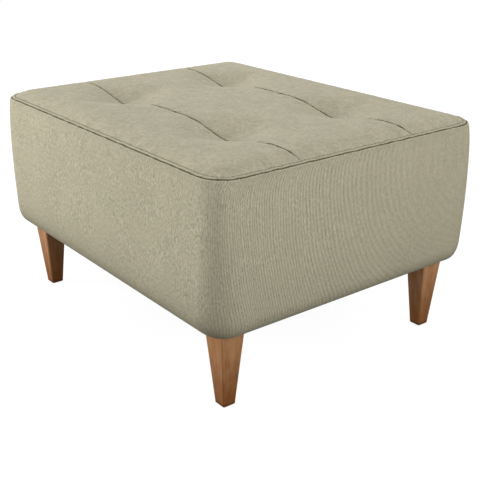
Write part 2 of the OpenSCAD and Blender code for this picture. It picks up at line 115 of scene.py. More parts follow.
class Graph:
    """The node tree of one material, or of the world."""

    def __init__(self, name: str, kind: str = "materials") -> None:
        """Makes an empty material or world.

        Args:
            name: Its name.
            kind: Which of Blender's lists it goes to.
        """
        self.owner = getattr(bpy.data, kind).new(name)
        self.owner.use_nodes = True
        self.tree = self.owner.node_tree
        self.tree.nodes.clear()

    def node(self, kind: str, inputs: dict, output: int | str = 0, **settings: object) -> Signal | None:
        """Adds a node.

        Args:
            kind: The node's type, after the ShaderNode that all have in common.
            inputs: A value or a signal for each socket, by its name or number.
            output: The socket that is handed back.
            settings: What is set on the node first.

        Returns:
            The chosen output, if the node has any.
        """
        made = self.tree.nodes.new("ShaderNode" + kind)
        for key, value in settings.items():
            setattr(made, key, value)
        for key, value in inputs.items():
            if isinstance(value, Signal):
                self.tree.links.new(value.socket, made.inputs[key])
            else:
                made.inputs[key].default_value = value
        return Signal(self, made.outputs[output]) if made.outputs else None

    def math(self, operation: str, *values: "Signal | float") -> Signal:
        """A Math node on numbers."""
        return self.node("Math", dict(enumerate(values)), operation=operation)

    def mix(
        self, factor: "Signal | float", a: "Signal | Colour", b: "Signal | Colour", **kind: str
    ) -> Signal:
        """Mixes two colours, from a at a factor of 0 to b at 1, unless another kind of blend is named."""
        a, b = (c if isinstance(c, Signal) else (*c, 1) for c in (a, b))
        return self.node("Mix", {0: factor, 6: a, 7: b}, 2, data_type="RGBA", **kind)

    def shaded(self, colour: "Signal | Colour", amount: Signal) -> Signal:
        """A colour times a number."""
        grey = self.node("CombineXYZ", dict.fromkeys(range(3), amount))
        return self.mix(1.0, colour, grey, blend_type="MULTIPLY")

    def stretched(self, vector: Signal, stretch: Colour) -> Signal:
        """A vector times another, axis by axis."""
        return self.node("VectorMath", {0: vector, 1: stretch}, operation="MULTIPLY")

    def place(self, stretch: "Colour | float" = 1.0) -> Signal:
        """Object coordinates, times a number or one for each axis."""
        stretch = stretch if isinstance(stretch, tuple) else (stretch,) * 3
        return self.stretched(self.node("TexCoord", {}, "Object"), stretch)

    def axes(self, vector: Signal) -> list[Signal]:
        """The three parts of a vector."""
        first = self.node("SeparateXYZ", {0: vector})
        return [Signal(self, socket) for socket in first.socket.node.outputs]

    def attribute(self, name: str) -> Signal:
        """A number kept with a piece's vertices."""
        return self.node("Attribute", {}, "Fac", attribute_name=name)

    def noise(self, where: "Signal | Colour | float", detail: float = 2.0, roughness: float = 0.5) -> Signal:
        """A noise from 0 to 1.

        Args:
            where: Where it is read, or how many features there are to a metre, also axis by axis.
            detail: How many finer layers it has.
            roughness: How strong they are.

        Returns:
            The noise.
        """
        vector = where if isinstance(where, Signal) else self.place(where)
        inputs = {"Vector": vector, "Scale": 1.0, "Detail": detail, "Roughness": roughness}
        return self.node("TexNoise", inputs, normalize=True)

    def bump(self, height: Signal, depth: float, strength: float) -> Signal:
        """A normal from a height, whose 1 stands for a depth in metres, at a strength."""
        return self.node("Bump", {"Height": height, "Distance": depth, "Strength": strength})

    def finish(self, **sockets: "Signal | float | Colour") -> bpy.types.Material:
        """Ends the tree in a Principled shader.

        Args:
            sockets: The shader's values, with _ for a space in a socket's name.

        Returns:
            The material.
        """
        inputs = {key.replace("_", " "): (*v, 1) if isinstance(v, tuple) else v for key, v in sockets.items()}
        self.node("OutputMaterial", {"Surface": self.node("BsdfPrincipled", inputs)})
        return self.owner


@dataclass(frozen=True)
class Finish(ABC):
    """A surface finish that builds one material."""

    name: str

    @abstractmethod
    def build(self) -> bpy.types.Material:
        """Makes the material."""


@lru_cache(maxsize=None)
def material_of(finish: Finish) -> bpy.types.Material:
    """The material of a finish, made once."""
    return finish.build()


def dress(piece: bpy.types.Object, finish: Finish) -> None:
    """Gives a piece its finish, in place of any it has.

    Args:
        piece: The piece.
        finish: Its finish.
    """
    piece.data.materials.clear()
    piece.data.materials.append(material_of(finish))
    LOG.info("%s: %s", piece.name, finish.name)


def declare(piece: bpy.types.Object, finish: Finish, node: str | None = None) -> None:
    """Dresses a piece and says where it belongs.

    Args:
        piece: The piece.
        finish: Its finish.
        node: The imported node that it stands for, if it does.
    """
    dress(piece, finish)
    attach(piece, "root")
    if node:
        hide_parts(node)


class Grain(Enum):
    """The way that a board's or a leg's fibres run."""

    ALONG_X = (1, 0, 0)
    ALONG_Y = (0, 1, 0)
    ALONG_Z = (0, 0, 1)

    def stretch(self, along: float, across: float) -> Colour:
        """Features to a metre on each axis, from those along the fibres and those across them."""
        return tuple(along if run else across for run in self.value)


@dataclass(frozen=True)
class CoverFabric(Finish):
    """Brushed sage beige upholstery cloth: fine ribs, broken into dashes, under a mottled nap."""

    colour: Colour = (0.481, 0.442, 0.316)
    # Colour toward which the painted shade in seams, under the topstitching and near the hem mixes
    painted_shade_colour: Colour = (0.115, 0.102, 0.055)
    rib_pitch: float = 4.2 * MM
    rib_contrast: float = 0.30
    rib_drift: float = 9.0
    drift_width: float = 15 * MM
    drift_length: float = 110 * MM
    dash_length: float = 26 * MM
    nap_width: float = 2.2 * MM
    nap_length: float = 5.2 * MM
    nap_contrast: float = 1.55
    mottle_size: float = 16 * MM
    mottle_contrast: float = 0.14
    cloud_size: float = 80 * MM
    cloud_contrast: float = 0.12
    # Width and strength of the painted shade along the topstitch line
    groove_w: float = 1.3 * MM
    groove_shade: float = 0.48

    def build(self) -> bpy.types.Material:
        """Makes the material.

        Ribs are a sine of the distance across them, which drifts with a slow noise, times a noise drawn
        out along them, so that they break into dashes. They show where the ribbed attribute says so. The
        nap is a noise drawn out the same way, with calm patches, and weaker where the calmed attribute
        says so; the mottle and the clouds are even noises. The shade attribute paints shade into the
        cloth's seams and toward the hem, and a line of painted shade runs under the topstitching, in its
        groove at its distance inside the rim.

        Returns:
            The cloth's material.
        """
        g = Graph(self.name)
        flat = g.node("UVMap", {}, uv_map="cloth")
        drift = g.noise(g.stretched(flat, (1 / self.drift_width, 1 / self.drift_length, 1.0)), 1.0)
        wave = (g.axes(flat)[0] * (TURN / self.rib_pitch) + drift * self.rib_drift).sine()
        dash_width = 1.3 * self.rib_pitch
        dashes = g.noise(g.stretched(flat, (1 / dash_width, 1 / self.dash_length, 1.0)), 1.0)
        ribs = wave * dashes * g.attribute("ribbed")
        calm = g.noise(22.0, 1.0).limited(0.30, 0.62)
        nap = g.noise((1 / self.nap_width, 1 / self.nap_width, 1 / self.nap_length), 2.0, 0.6) - 0.5
        nap = nap * (calm * 0.35 + 0.65) * (1.0 - g.attribute("calmed"))
        mottle = g.noise(1 / self.mottle_size, 2.5, 0.6) - 0.5
        clouds = g.noise(1 / self.cloud_size, 3.0, 0.55) - 0.5
        tone = 1.0 + ribs * self.rib_contrast + nap * self.nap_contrast
        tone = tone + mottle * self.mottle_contrast + clouds * self.cloud_contrast
        # Painted shade under the topstitching, joined with the painted shade of seams and hem from the shade
        # attribute
        off_line = abs(g.attribute("rim") - STITCH_IN)
        groove = (1.0 - off_line.limited(0.2 * self.groove_w, self.groove_w)) * self.groove_shade
        shade = g.math("MAXIMUM", g.attribute("shade"), groove)
        return g.finish(
            Base_Color=g.mix(shade, g.shaded(self.colour, tone), self.painted_shade_colour),
            Roughness=0.88 + nap * 0.2,
            Normal=g.bump(ribs + nap, 0.4 * MM, 0.4),
            Specular_IOR_Level=0.15,
            Sheen_Weight=0.10,
            Sheen_Roughness=0.55,
            Sheen_Tint=(0.80, 0.77, 0.66),
        )


@dataclass(frozen=True)
class Thread(Finish):
    """Twisted sewing thread or twine, with its plies as a slanting wave."""

    colour: Colour
    ply_pitch: float = 0.5 * MM

    def build(self) -> bpy.types.Material:
        """Makes the material: a slanting sine for the plies, and a fine noise for loose fibres.

        Returns:
            The thread's material.
        """
        g = Graph(self.name)
        x, y, z = g.axes(g.place())
        plies = ((x + y + z) * (TURN / self.ply_pitch)).stripes()
        fibres = g.noise(2400.0)
        return g.finish(
            Base_Color=g.shaded(self.colour, 0.82 + plies * 0.2 + fibres * 0.16),
            Roughness=0.62 + fibres * 0.2,
            Normal=g.bump(plies, 0.08 * MM, 0.5),
        )


@dataclass(frozen=True)
class StainedWood(Finish):
    """Straight-grained hardwood for the legs, stained warm brown, darker toward the foot, with a painted
    arris highlight.
    """

    leg_x: float
    leg_y: float
    top_half: float
    top_z: float
    foot_half: float = 12.8 * MM
    light: Colour = (0.525, 0.286, 0.149)
    dark: Colour = (0.40, 0.190, 0.078)
    foot_light: Colour = (0.265, 0.104, 0.032)
    foot_dark: Colour = (0.19, 0.067, 0.017)
    foot_z: float = 12 * MM
    foot_tone: float = 0.45
    # Width and strength of the painted highlight along the arrises
    highlight_w: float = 6 * MM
    arris_highlight: float = 0.20

    @classmethod
    def from_frame(cls) -> "StainedWood":
        """Reads where a leg stands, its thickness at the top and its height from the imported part.

        Returns:
            The finish.
        """
        low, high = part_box("leg_front_right")
        middle, half = (low + high) / 2, (high - low) / 2
        return cls("leg_wood", middle.x, -middle.y, half.x, high.z)

    def build(self) -> bpy.types.Material:
        """Makes the material.

        The stain's clouds are a soft noise, growth bands are a sine of a noise drawn out along the
        fibres, pores are short dark streaks, and the wood darkens toward the foot, which is darkest. A
        painted highlight, where bevels would catch the light, runs along the arrises, whose distance is
        half the leg's thickness at that height less the smaller of the distances from the leg's middle
        along the length and along the depth.

        Returns:
            The wood's material.
        """
        g = Graph(self.name)
        stretch = Grain.ALONG_Z.stretch
        x, y, z = g.axes(g.place())
        bands = (g.noise(stretch(3.0, 26.0), 3.0, 0.55) * 30.0).stripes()
        clouds = g.noise(stretch(32.0, 80.0)).limited(0.25, 0.75)
        fibre = g.noise(stretch(16.0, 520.0), 3.0, 0.6)
        pores = g.noise(stretch(55.0, 1500.0), 1.0).limited(0.60, 0.72)
        streak = (bands * 0.25 + fibre * 0.35 + clouds * 0.4).limited(0.12, 0.88)
        low, high = g.mix(streak, self.foot_dark, self.foot_light), g.mix(streak, self.dark, self.light)
        half = self.foot_half + z * ((self.top_half - self.foot_half) / self.top_z)
        off_middle = g.math("MINIMUM", abs(abs(x) - self.leg_x), abs(abs(y) - self.leg_y))
        # Painted highlight along the arrises
        near_arris = 1.0 - (half - off_middle).limited(0.0, self.highlight_w)
        foot = self.foot_tone + z.limited(0.0, self.foot_z) * (1 - self.foot_tone)
        tone = foot * (1.0 - pores * 0.14) * (1.0 + near_arris * self.arris_highlight)
        return g.finish(
            Base_Color=g.shaded(g.mix(z.limited(0.0, self.top_z), low, high), tone),
            Roughness=0.46 + fibre * 0.16,
            Normal=g.bump(fibre - pores * 0.6, 0.08 * MM, 0.3),
            Specular_IOR_Level=0.06,
        )


@dataclass(frozen=True)
class RawWood(Finish):
    """Planed softwood or plywood as it comes: grain bands, fibre and, across its edge, its plies."""

    light: Colour
    dark: Colour
    grain: Grain
    plies: float = 0.0

    def build(self) -> bpy.types.Material:
        """Makes the material: bands and fibre as noise drawn out along the grain, plies as level stripes.

        Returns:
            The wood's material.
        """
        g = Graph(self.name)
        bands = (g.noise(self.grain.stretch(1.6, 14.0), 3.0) * 60.0).stripes()
        fibre = g.noise(self.grain.stretch(12.0, 480.0), 3.0, 0.6)
        streak = bands * 0.5 + fibre * 0.5
        if self.plies:
            edge = 1.0 - abs(g.axes(g.node("NewGeometry", {}, "Normal"))[2])
            stripes = (g.axes(g.place())[2] * (TURN / self.plies)).stripes()
            streak = streak * (1.0 - edge * 0.7) + stripes * edge * 0.7
        return g.finish(
            Base_Color=g.mix(streak.limited(0.2, 0.8), self.dark, self.light),
            Roughness=0.62 + fibre * 0.2,
            Normal=g.bump(fibre, 0.15 * MM, 0.4),
        )


@dataclass(frozen=True)
class Fibreboard(Finish):
    """Pressed wood fibre: a felt of short light and dark strands."""

    light: Colour
    dark: Colour

    def build(self) -> bpy.types.Material:
        """Makes the material from a noise of strands and a cloudy one.

        Returns:
            The board's material.
        """
        g = Graph(self.name)
        strands = g.noise((260.0, 260.0, 700.0), 4.0, 0.7)
        felt = (strands * 0.8 + g.noise(18.0, 3.0) * 0.3).limited(0.35, 0.75)
        return g.finish(
            Base_Color=g.mix(felt, self.dark, self.light),
            Roughness=0.78 + strands * 0.15,
            Normal=g.bump(strands, 0.2 * MM, 0.5),
        )


@dataclass(frozen=True)
class Stuffing(Finish):
    """Open-cell foam or loose wadding: a field of cells or of tangled fibres."""

    colour: Colour
    cell_size: float
    fibrous: bool = False

    def build(self) -> bpy.types.Material:
        """Makes the material: cells as a Voronoi distance, or fibres as a stretched noise, with a soft tint.

        Returns:
            The padding's material.
        """
        g = Graph(self.name)
        cells = 1 / self.cell_size
        if self.fibrous:
            cells = g.noise((cells, cells, 3 * cells), 5.0, 0.75)
        else:
            cells = g.node("TexVoronoi", {"Vector": g.place(), "Scale": cells})
        return g.finish(
            Base_Color=g.shaded(self.colour, 0.74 + cells * 0.28 + g.noise(22.0) * 0.14),
            Roughness=0.88 + cells * 0.1,
            Normal=g.bump(cells, 0.8 * MM, 0.6),
        )


@dataclass(frozen=True)
class NonWoven(Finish):
    """Thin black spunbonded cloth, thermally dotted in rows."""

    colour: Colour
    dot_pitch: float = 2.4 * MM

    def build(self) -> bpy.types.Material:
        """Makes the material: bonded dots as the product of two sines, over a felt of fibres.

        Returns:
            The cloth's material.
        """
        g = Graph(self.name)
        x, y = ((part * (TURN / self.dot_pitch)).sine() for part in g.axes(g.place())[:2])
        dots = (x * y).limited(0.35, 0.8)
        fibres = g.noise(900.0, 4.0, 0.7)
        return g.finish(
            Base_Color=g.shaded(self.colour, 0.7 + fibres * 0.9 + dots * 0.35),
            Roughness=0.72 - dots * 0.25,
            Normal=g.bump(fibres - dots * 0.5, 0.2 * MM, 0.5),
        )


@dataclass(frozen=True)
class PlatedMetal(Finish):
    """Plated or turned metal with a faint tooling texture and some dulling."""

    colour: Colour
    roughness: float

    def build(self) -> bpy.types.Material:
        """Makes the material: a ring-like tooling noise and cloudy dulling in the roughness.

        Returns:
            The metal's material.
        """
        g = Graph(self.name)
        dulling = g.noise(130.0, 3.0)
        return g.finish(
            Base_Color=g.shaded(self.colour, 0.86 + dulling * 0.2),
            Metallic=1.0,
            Roughness=self.roughness + dulling * 0.18,
            Normal=g.bump(g.noise((40.0, 40.0, 2600.0)), 0.05 * MM, 0.4),
        )


@dataclass(frozen=True)
class MouldedPlastic(Finish):
    """Moulded plastic with a fine spark-eroded texture and scuffs."""

    colour: Colour

    def build(self) -> bpy.types.Material:
        """Makes the material: fine pits in the bump, and scuffs that lighten and dull it.

        Returns:
            The plastic's material.
        """
        g = Graph(self.name)
        pits = g.noise(2600.0)
        scuffs = g.noise((90.0, 300.0, 90.0), 4.0, 0.7).limited(0.55, 0.8)
        return g.finish(
            Base_Color=g.shaded(self.colour, 0.9 + scuffs * 0.6 + pits * 0.15),
            Roughness=0.46 + scuffs * 0.25,
            Normal=g.bump(pits, 0.05 * MM, 0.5),
        )


BAND_CLOTH = CoverFabric("band_cloth")
TOP_CLOTH = CoverFabric(
    "top_cloth",
    nap_width=6 * MM,
    nap_length=6 * MM,
    nap_contrast=0.74,
    mottle_size=22 * MM,
    mottle_contrast=0.38,
)
# Darker than the cloth: partly the thread's own colour, partly painted shade of its stitch holes
SEWING_THREAD = Thread("sewing_thread", (0.170, 0.154, 0.100))
TWINE = Thread("tuft_twine", (0.70, 0.66, 0.52), 1.2 * MM)
LEG_WOOD = StainedWood.from_frame()
ZINC = PlatedMetal("zinc_plate", (0.62, 0.63, 0.65), 0.26)
BRASS = PlatedMetal("turned_brass", (0.72, 0.56, 0.26), 0.30)
GLIDE_NYLON = MouldedPlastic("glide_nylon", (0.030, 0.021, 0.016))
WASHER_PLASTIC = MouldedPlastic("washer_plastic", (0.020, 0.020, 0.021))
FOAM = Stuffing("seat_foam", (0.80, 0.74, 0.52), 1.8 * MM)
WADDING = Stuffing("polyester_wadding", (0.85, 0.85, 0.82), 5 * MM, True)
DUST_CLOTH = NonWoven("dust_cloth", (0.016, 0.016, 0.017))
FIBREBOARD = Fibreboard("fibreboard", (0.36, 0.22, 0.12), (0.16, 0.09, 0.045))
PINE = {
    grain: RawWood(f"pine_{grain.name.lower()}", (0.72, 0.52, 0.30), (0.52, 0.33, 0.16), grain)
    for grain in Grain
}
PLYWOOD = RawWood("plywood", (0.60, 0.43, 0.24), (0.40, 0.26, 0.13), Grain.ALONG_X, 2.4 * MM)


def graded(length: float, fine: float, coarse: float, growth: float = 1.3) -> Array:
    """Places along a length, close together at its start and wider apart further on.

    Each step is the last one times the growth until it reaches the coarse step, and all are then scaled
    alike so that the last place is the length.

    Args:
        length: The whole length.
        fine: The first step.
        coarse: The widest step.
        growth: The ratio of one step to the next.

    Returns:
        The places, from 0 to the length.
    """
    steps = np.minimum(fine * growth ** np.arange(int(length / fine) + 2), coarse)
    places = np.concatenate([[0.0], np.cumsum(steps)])
    places = places[: np.searchsorted(places, length) + 1]
    return places * (length / places[-1])


def graded_both(length: float, fine: float, coarse: float) -> Array:
    """Places along a length that are close together at both its ends."""
    half = graded(length / 2, fine, coarse)
    return np.concatenate([half, length - half[-2::-1]])


def spread_ends(half: float, fine: float, coarse: float) -> Array:
    """Places from minus a half length to plus it, close together at both ends."""
    return graded_both(2 * half, fine, coarse) - half


def round_corners(p: Array, q: Array, half: tuple[float, float], radius: float) -> tuple[Array, Array]:
    """Carries points of a square-cornered rectangle into a rounded one.

    In each corner square the distance from the inner corner is the greater of the two shares, and the
    angle runs evenly along the square's edge, so lines near the edge stay parallel to it.

    Args:
        p: Places along the length.
        q: Places along the depth.
        half: Half the rectangle's length and half its depth.
        radius: The radius of its corners.

    Returns:
        X and y.
    """
    a, b = (np.maximum(np.abs(place) - (edge - radius), 0) / radius for place, edge in zip((p, q), half))
    far = np.maximum(a, b)
    slant = TURN / 8 * np.minimum(a, b) / np.maximum(far, TINY)
    angle = np.where(a >= b, slant, TURN / 4 - slant)
    corner = (a > TINY) & (b > TINY)
    out = radius * far * np.stack([np.cos(angle), np.sin(angle)])
    x, y = (np.sign(place) * (edge - radius + o) for place, edge, o in zip((p, q), half, out))
    return np.where(corner, x, p), np.where(corner, y, q)


def at_heights(flat: Array, z: Array) -> Array:
    """Rows of flat points, each at its own height."""
    return np.concatenate([flat, np.broadcast_to(z[:, None, None], (*flat.shape[:2], 1))], axis=-1)


def run_along(line: Array) -> Array:
    """Distance of each point of a line from its first, along it."""
    return np.concatenate([[0.0], np.cumsum(np.linalg.norm(np.diff(line, axis=0), axis=-1))])


def grid_normals(points: Array, wrap: bool = False) -> Array:
    """Unit normals of a grid surface: the cross product of its two central differences.

    Args:
        points: The grid.
        wrap: Whether its last column joins the first.

    Returns:
        The normals, pointing to the side from which rows by columns turn anticlockwise.
    """
    along = np.roll(points, -1, 1) - np.roll(points, 1, 1) if wrap else np.gradient(points, axis=1)
    normals = np.cross(along, np.gradient(points, axis=0))
    return normals / np.maximum(np.linalg.norm(normals, axis=-1, keepdims=True), TINY * MM)


def grid_faces(rows: int, columns: int, wrap_rows: bool = False, wrap_columns: bool = False) -> Array:
    """Quads of a grid, as indices of its points row by row.

    Args:
        rows: How many rows it has.
        columns: How many columns it has.
        wrap_rows: Whether the last row joins the first.
        wrap_columns: Whether the last column joins the first.

    Returns:
        One row of four indices a quad.
    """
    i = np.arange(rows if wrap_rows else rows - 1)[:, None]
    left = np.arange(columns if wrap_columns else columns - 1)[None, :]
    below, above, right = i * columns, (i + 1) % rows * columns, (left + 1) % columns
    return np.stack([below + left, below + right, above + right, above + left], axis=-1).reshape(-1, 4)


def mesh_piece(
    name: str,
    points: Array,
    faces: Array | list,
    uv: Array | None = None,
    marks: dict[str, Array] | None = None,
    weld: bool = False,
    lap: float = 0.0,
) -> bpy.types.Object:
    """Makes a mesh piece with smooth faces.

    Args:
        name: The piece's name.
        points: Its points, whose last axis is x, y and z.
        faces: Its faces, as an array of quads or a list of index lists.
        uv: Flat coordinates for each point, in metres.
        marks: Numbers that the finish reads, one for each point, by their names.
        weld: Whether a closed piece's points that lie on each other are made one. What then sticks out
            of it as a loose face goes.
        lap: Length of cloth after which the first flat coordinate starts again, if quads close a loop.

    Returns:
        The new object, at the origin.
    """
    mesh = bpy.data.meshes.new(name)
    mesh.from_pydata(points.reshape(-1, 3).tolist(), [], [list(map(int, face)) for face in faces])
    for mark, values in (marks or {}).items():
        data = mesh.attributes.new(mark, "FLOAT", "POINT").data
        data.foreach_set("value", values.astype(np.float32).ravel())
    if uv is not None:
        corners = np.empty(len(mesh.loops), np.int64)
        mesh.loops.foreach_get("vertex_index", corners)
        flat = uv.reshape(-1, 2)[corners]
        if lap:
            across = flat[:, 0].reshape(-1, 4)
            across += lap * (across < across.max(axis=1, keepdims=True) - lap / 2)
            flat[:, 0] = across.ravel()
        mesh.uv_layers.new(name="cloth").data.foreach_set("uv", flat.astype(np.float32).ravel())
    if weld:
        made = bmesh.new()
        made.from_mesh(mesh)
        bmesh.ops.remove_doubles(made, verts=made.verts, dist=WELD)
        bmesh.ops.dissolve_degenerate(made, edges=made.edges, dist=WELD)
        stray = {edge.link_faces[0] for edge in made.edges if edge.is_boundary}
        bmesh.ops.delete(made, geom=list(stray), context="FACES")
        made.to_mesh(mesh)
        made.free()
    mesh.shade_smooth()
    mesh.update()
    piece = bpy.data.objects.new(name, mesh)
    bpy.context.scene.collection.objects.link(piece)
    return piece


def closed_between(
    name: str, upper: Array, lower: Array, uv: Array | None = None, marks: dict[str, Array] | None = None
) -> bpy.types.Object:
    """A closed solid between two grids of the same size, joined round their edges.

    Args:
        name: The piece's name.
        upper: The outer grid, whose quads turn anticlockwise seen from outside.
        lower: The inner grid.
        uv: Flat coordinates for each point of a grid.
        marks: Numbers that the finish reads, one for each point of a grid, by their names.

    Returns:
        The new object.
    """
    rows, columns = upper.shape[:2]
    count = rows * columns
    quads = grid_faces(rows, columns)
    index = np.arange(count).reshape(rows, columns)
    edge = np.concatenate([index[0, :-1], index[:-1, -1], index[-1, :0:-1], index[:0:-1, 0]])
    after = np.roll(edge, -1)
    rim = np.stack([after, edge, edge + count, after + count], axis=-1)
    faces = np.concatenate([quads, quads[:, ::-1] + count, rim])
    uv = None if uv is None else np.stack([uv, uv])
    marks = {mark: np.stack([values, values]) for mark, values in (marks or {}).items()}
    return mesh_piece(name, np.stack([upper, lower]), faces, uv, marks, weld=True)


def tubes(name: str, rings: Array) -> bpy.types.Object:
    """A piece made of closed tubes with flat ends.

    Args:
        name: The piece's name.
        rings: The points by tubes, rings and places, anticlockwise seen from where the tube goes.

    Returns:
        The new object.
    """
    count, length, sides = rings.shape[:3]
    start = np.arange(count)[:, None, None] * length * sides
    walls = (grid_faces(length, sides, wrap_columns=True) + start).reshape(-1, 4)
    first = np.arange(sides)[::-1] + start[:, 0]
    last = np.arange(sides) + (length - 1) * sides + start[:, 0]
    return mesh_piece(name, rings, [*walls.tolist(), *first.tolist(), *last.tolist()])


@dataclass(frozen=True)
class Waves:
    """A sum of sines with seeded phases, for gathers and for the unevenness of hand-made padding."""

    seed: int
    shortest: float
    longest: float
    height: float
    count: int = 7

    def along(self, distance: Array, loop: float | None = None) -> Array:
        """The sum at each distance along a seam.

        Each sine has its own length between the shortest and the longest and the same height, and the
        sum is scaled so that its usual height is the one asked for.

        Args:
            distance: The distances.
            loop: The seam's whole length, if it closes on itself.

        Returns:
            The sum at each distance.
        """
        random = np.random.default_rng(self.seed)
        uneven = random.uniform(0.93, 1.07, self.count)
        lengths = np.geomspace(self.shortest, self.longest, self.count) * uneven
        if loop:
            lengths = loop / np.round(loop / lengths)
        angles = distance[..., None] * (TURN / lengths) + random.uniform(0, TURN, self.count)
        return np.sin(angles).sum(-1) * (self.height / math.sqrt(self.count / 2))


@dataclass(frozen=True)
class BodyForm:
    """The outer form of the padded body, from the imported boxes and, for the rest, the cover's cut."""

    seam_w: float
    seam_d: float
    seam_h: float
    hem_z: float
    frame_off: float
    skin_off: float
    side_bulge: float = 9 * MM
    seam_corner_r: float = 50 * MM
    side_corner_r: float = 41 * MM
    base_corner_r: float = 68 * MM
    hem_corner_r: float = 20 * MM
    roll_h: float = 36 * MM
    least_r: float = 2 * MM
    bulge_power: float = 0.6
    grow_power: float = 1.8
    fall_power: float = 30.0

    @classmethod
    def from_frame(cls) -> "BodyForm":
        """Reads the seam round the top, the hem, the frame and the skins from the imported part.

        Returns:
            The body's form.
        """
        cover_t = 1.5 * MM
        panel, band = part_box("cover_top_front"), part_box("cover_band")
        half_w = panel[1].x
        offs = [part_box(name)[1].x - half_w for name in ("deck_panel", "skin_right")]
        return cls(2 * half_w, -2 * panel[0].y, band[1].z + cover_t, band[0].z, *offs)

    @property
    def roll_z(self) -> float:
        """Height at which the roll under the sides starts."""
        return self.hem_z + self.roll_h

    def half(self, off: float = 0.0) -> tuple[float, float]:
        """Half the length and half the depth at a distance outside the seam."""
        return self.seam_w / 2 + off, self.seam_d / 2 + off

    def side_share(self, z: Array) -> Array:
        """Share of the side's height, 0 at the hem and 1 at the seam."""
        return np.clip((z - self.hem_z) / (self.seam_h - self.hem_z), 0, 1)

    def side_out(self, z: Array) -> Array:
        """How far the side stands out past the seam: the bulge times a power of (1 - share squared)."""
        return self.side_bulge * (1 - self.side_share(z) ** 2) ** self.bulge_power

    def corner_r(self, z: Array) -> Array:
        """Radius of the upright corners.

        It falls from the seam's to the side's as a high power of the share, and grows to the base's as
        a low power of (1 - share). In the roll it shrinks to the hem's along a quarter circle.

        Args:
            z: Heights.

        Returns:
            The radii.
        """
        share = self.side_share(z)
        grow = (self.base_corner_r - self.side_corner_r) * (1 - share) ** self.grow_power
        fall = (self.seam_corner_r - self.side_corner_r) * share**self.fall_power
        tighter = self.base_corner_r - self.side_bulge + self.frame_off - self.hem_corner_r
        down = np.clip((self.roll_z - z) / self.roll_h, 0, 1)
        return self.side_corner_r + grow + fall - tighter * (1 - np.sqrt(1 - down**2))

    def inside(self, x: Array, y: Array) -> Array:
        """Distance of points inside the seam's rounded rectangle.

        Args:
            x: Places along the length.
            y: Places along the depth.

        Returns:
            The distances.
        """
        qx, qy = (np.abs(place) - edge for place, edge in zip((x, y), self.half(-self.seam_corner_r)))
        corner = np.hypot(np.maximum(qx, 0), np.maximum(qy, 0))
        return self.seam_corner_r - np.where((qx > 0) & (qy > 0), corner, np.maximum(qx, qy))


class Lap:
    """Places round the body, as the shares that make a rounded rectangle of any size.

    Each place has a share of the straight part along each axis and an angle round its corner's arc, so
    that a point is share times (half size less radius) plus the radius times the cosine or sine. The
    lap starts at the middle of the back and runs anticlockwise, seen from above.
    """

    def __init__(self, form: BodyForm, step: float, arc_steps: int) -> None:
        """Spreads the places over the arc and the straight part after it, corner by corner.

        Args:
            form: The body, whose seam gives the straight parts their lengths.
            step: The distance between places on the straight parts.
            arc_steps: The number of steps round each corner.
        """
        sizes = (form.seam_d, form.seam_w)
        deep, long = (round((size - 2 * form.base_corner_r) / step / 2) * 2 for size in sizes)
        corners = np.array([(-1, 1), (-1, -1), (1, -1), (1, 1)])
        arc = np.linspace(0, 1, arc_steps, endpoint=False)
        parts = []
        for quarter, steps in enumerate((deep, long, deep, long)):
            ahead = np.linspace(0, 1, steps, endpoint=False)[:, None]
            start, end = corners[quarter], corners[(quarter + 1) % 4]
            share = np.concatenate([np.tile(start, (arc_steps, 1)), start + (end - start) * ahead])
            turned = np.concatenate([quarter + 1 + arc, np.full(steps, quarter + 2)])
            parts.append(np.column_stack([share, turned * TURN / 4]))
        self.share_x, self.share_y, self.angle = np.roll(np.concatenate(parts), long // 2, axis=0).T

    def outline(self, half_x: Array, half_y: Array, radius: Array) -> Array:
        """Points of rounded rectangles.

        Args:
            half_x: Half the length of each rectangle.
            half_y: Half the depth of each rectangle.
            radius: The corner radius of each rectangle.

        Returns:
            X and y, one row of places a rectangle.
        """
        half_x, half_y, radius = (np.atleast_1d(a)[:, None] for a in (half_x, half_y, radius))
        x = self.share_x * (half_x - radius) + radius * np.cos(self.angle)
        y = self.share_y * (half_y - radius) + radius * np.sin(self.angle)
        return np.stack([x, y], axis=-1)

    def rings(self, form: BodyForm, off: Array, z: Array) -> Array:
        """Rings of the body, each at a distance off outside the seam and a height z."""
        radius = np.maximum(form.corner_r(z) + off - form.side_out(z), form.least_r)
        return at_heights(self.outline(*form.half(off), radius), z)


@dataclass(frozen=True)
class Fold:
    """A cloth edge that rounds over and runs down into a seam.

    Along the cloth from its hidden edge, it climbs a straight wall, turns through a quarter circle and
    lies flat after that. The cloth has no painted shade above the depth of light and full painted
    shade below that of shade.
    """

    radius: float
    wall: float
    light: float
    shade: float

    def length(self) -> float:
        """Length of cloth in the wall and the turn."""
        return self.wall + self.radius * TURN / 4

    def places(self) -> Array:
        """Lengths of cloth at which the fold has rows: two on the wall and nine round the turn."""
        return np.concatenate([[0.0, self.wall / 2], np.linspace(self.wall, self.length(), 9)])

    def angle(self, cloth: Array) -> Array:
        """Angle through which the cloth has turned at a length of it."""
        return np.clip((cloth - self.wall) / self.radius, 0, TURN / 4)

    def inward(self, cloth: Array) -> Array:
        """Distance from the seam at a length of cloth: the radius times (1 - cosine)."""
        return self.radius * (1 - np.cos(self.angle(cloth)))

    def drop(self, cloth: Array) -> Array:
        """Depth below the flat cloth at a length of cloth: the radius times (1 - sine), and the wall."""
        return self.radius * (1 - np.sin(self.angle(cloth))) + np.maximum(self.wall - cloth, 0)

    def shaded(self, drop: Array) -> Array:
        """How much painted shade the cloth has at a depth, from 0 to 1."""
        return np.clip((drop - self.light) / (self.shade - self.light), 0, 1)


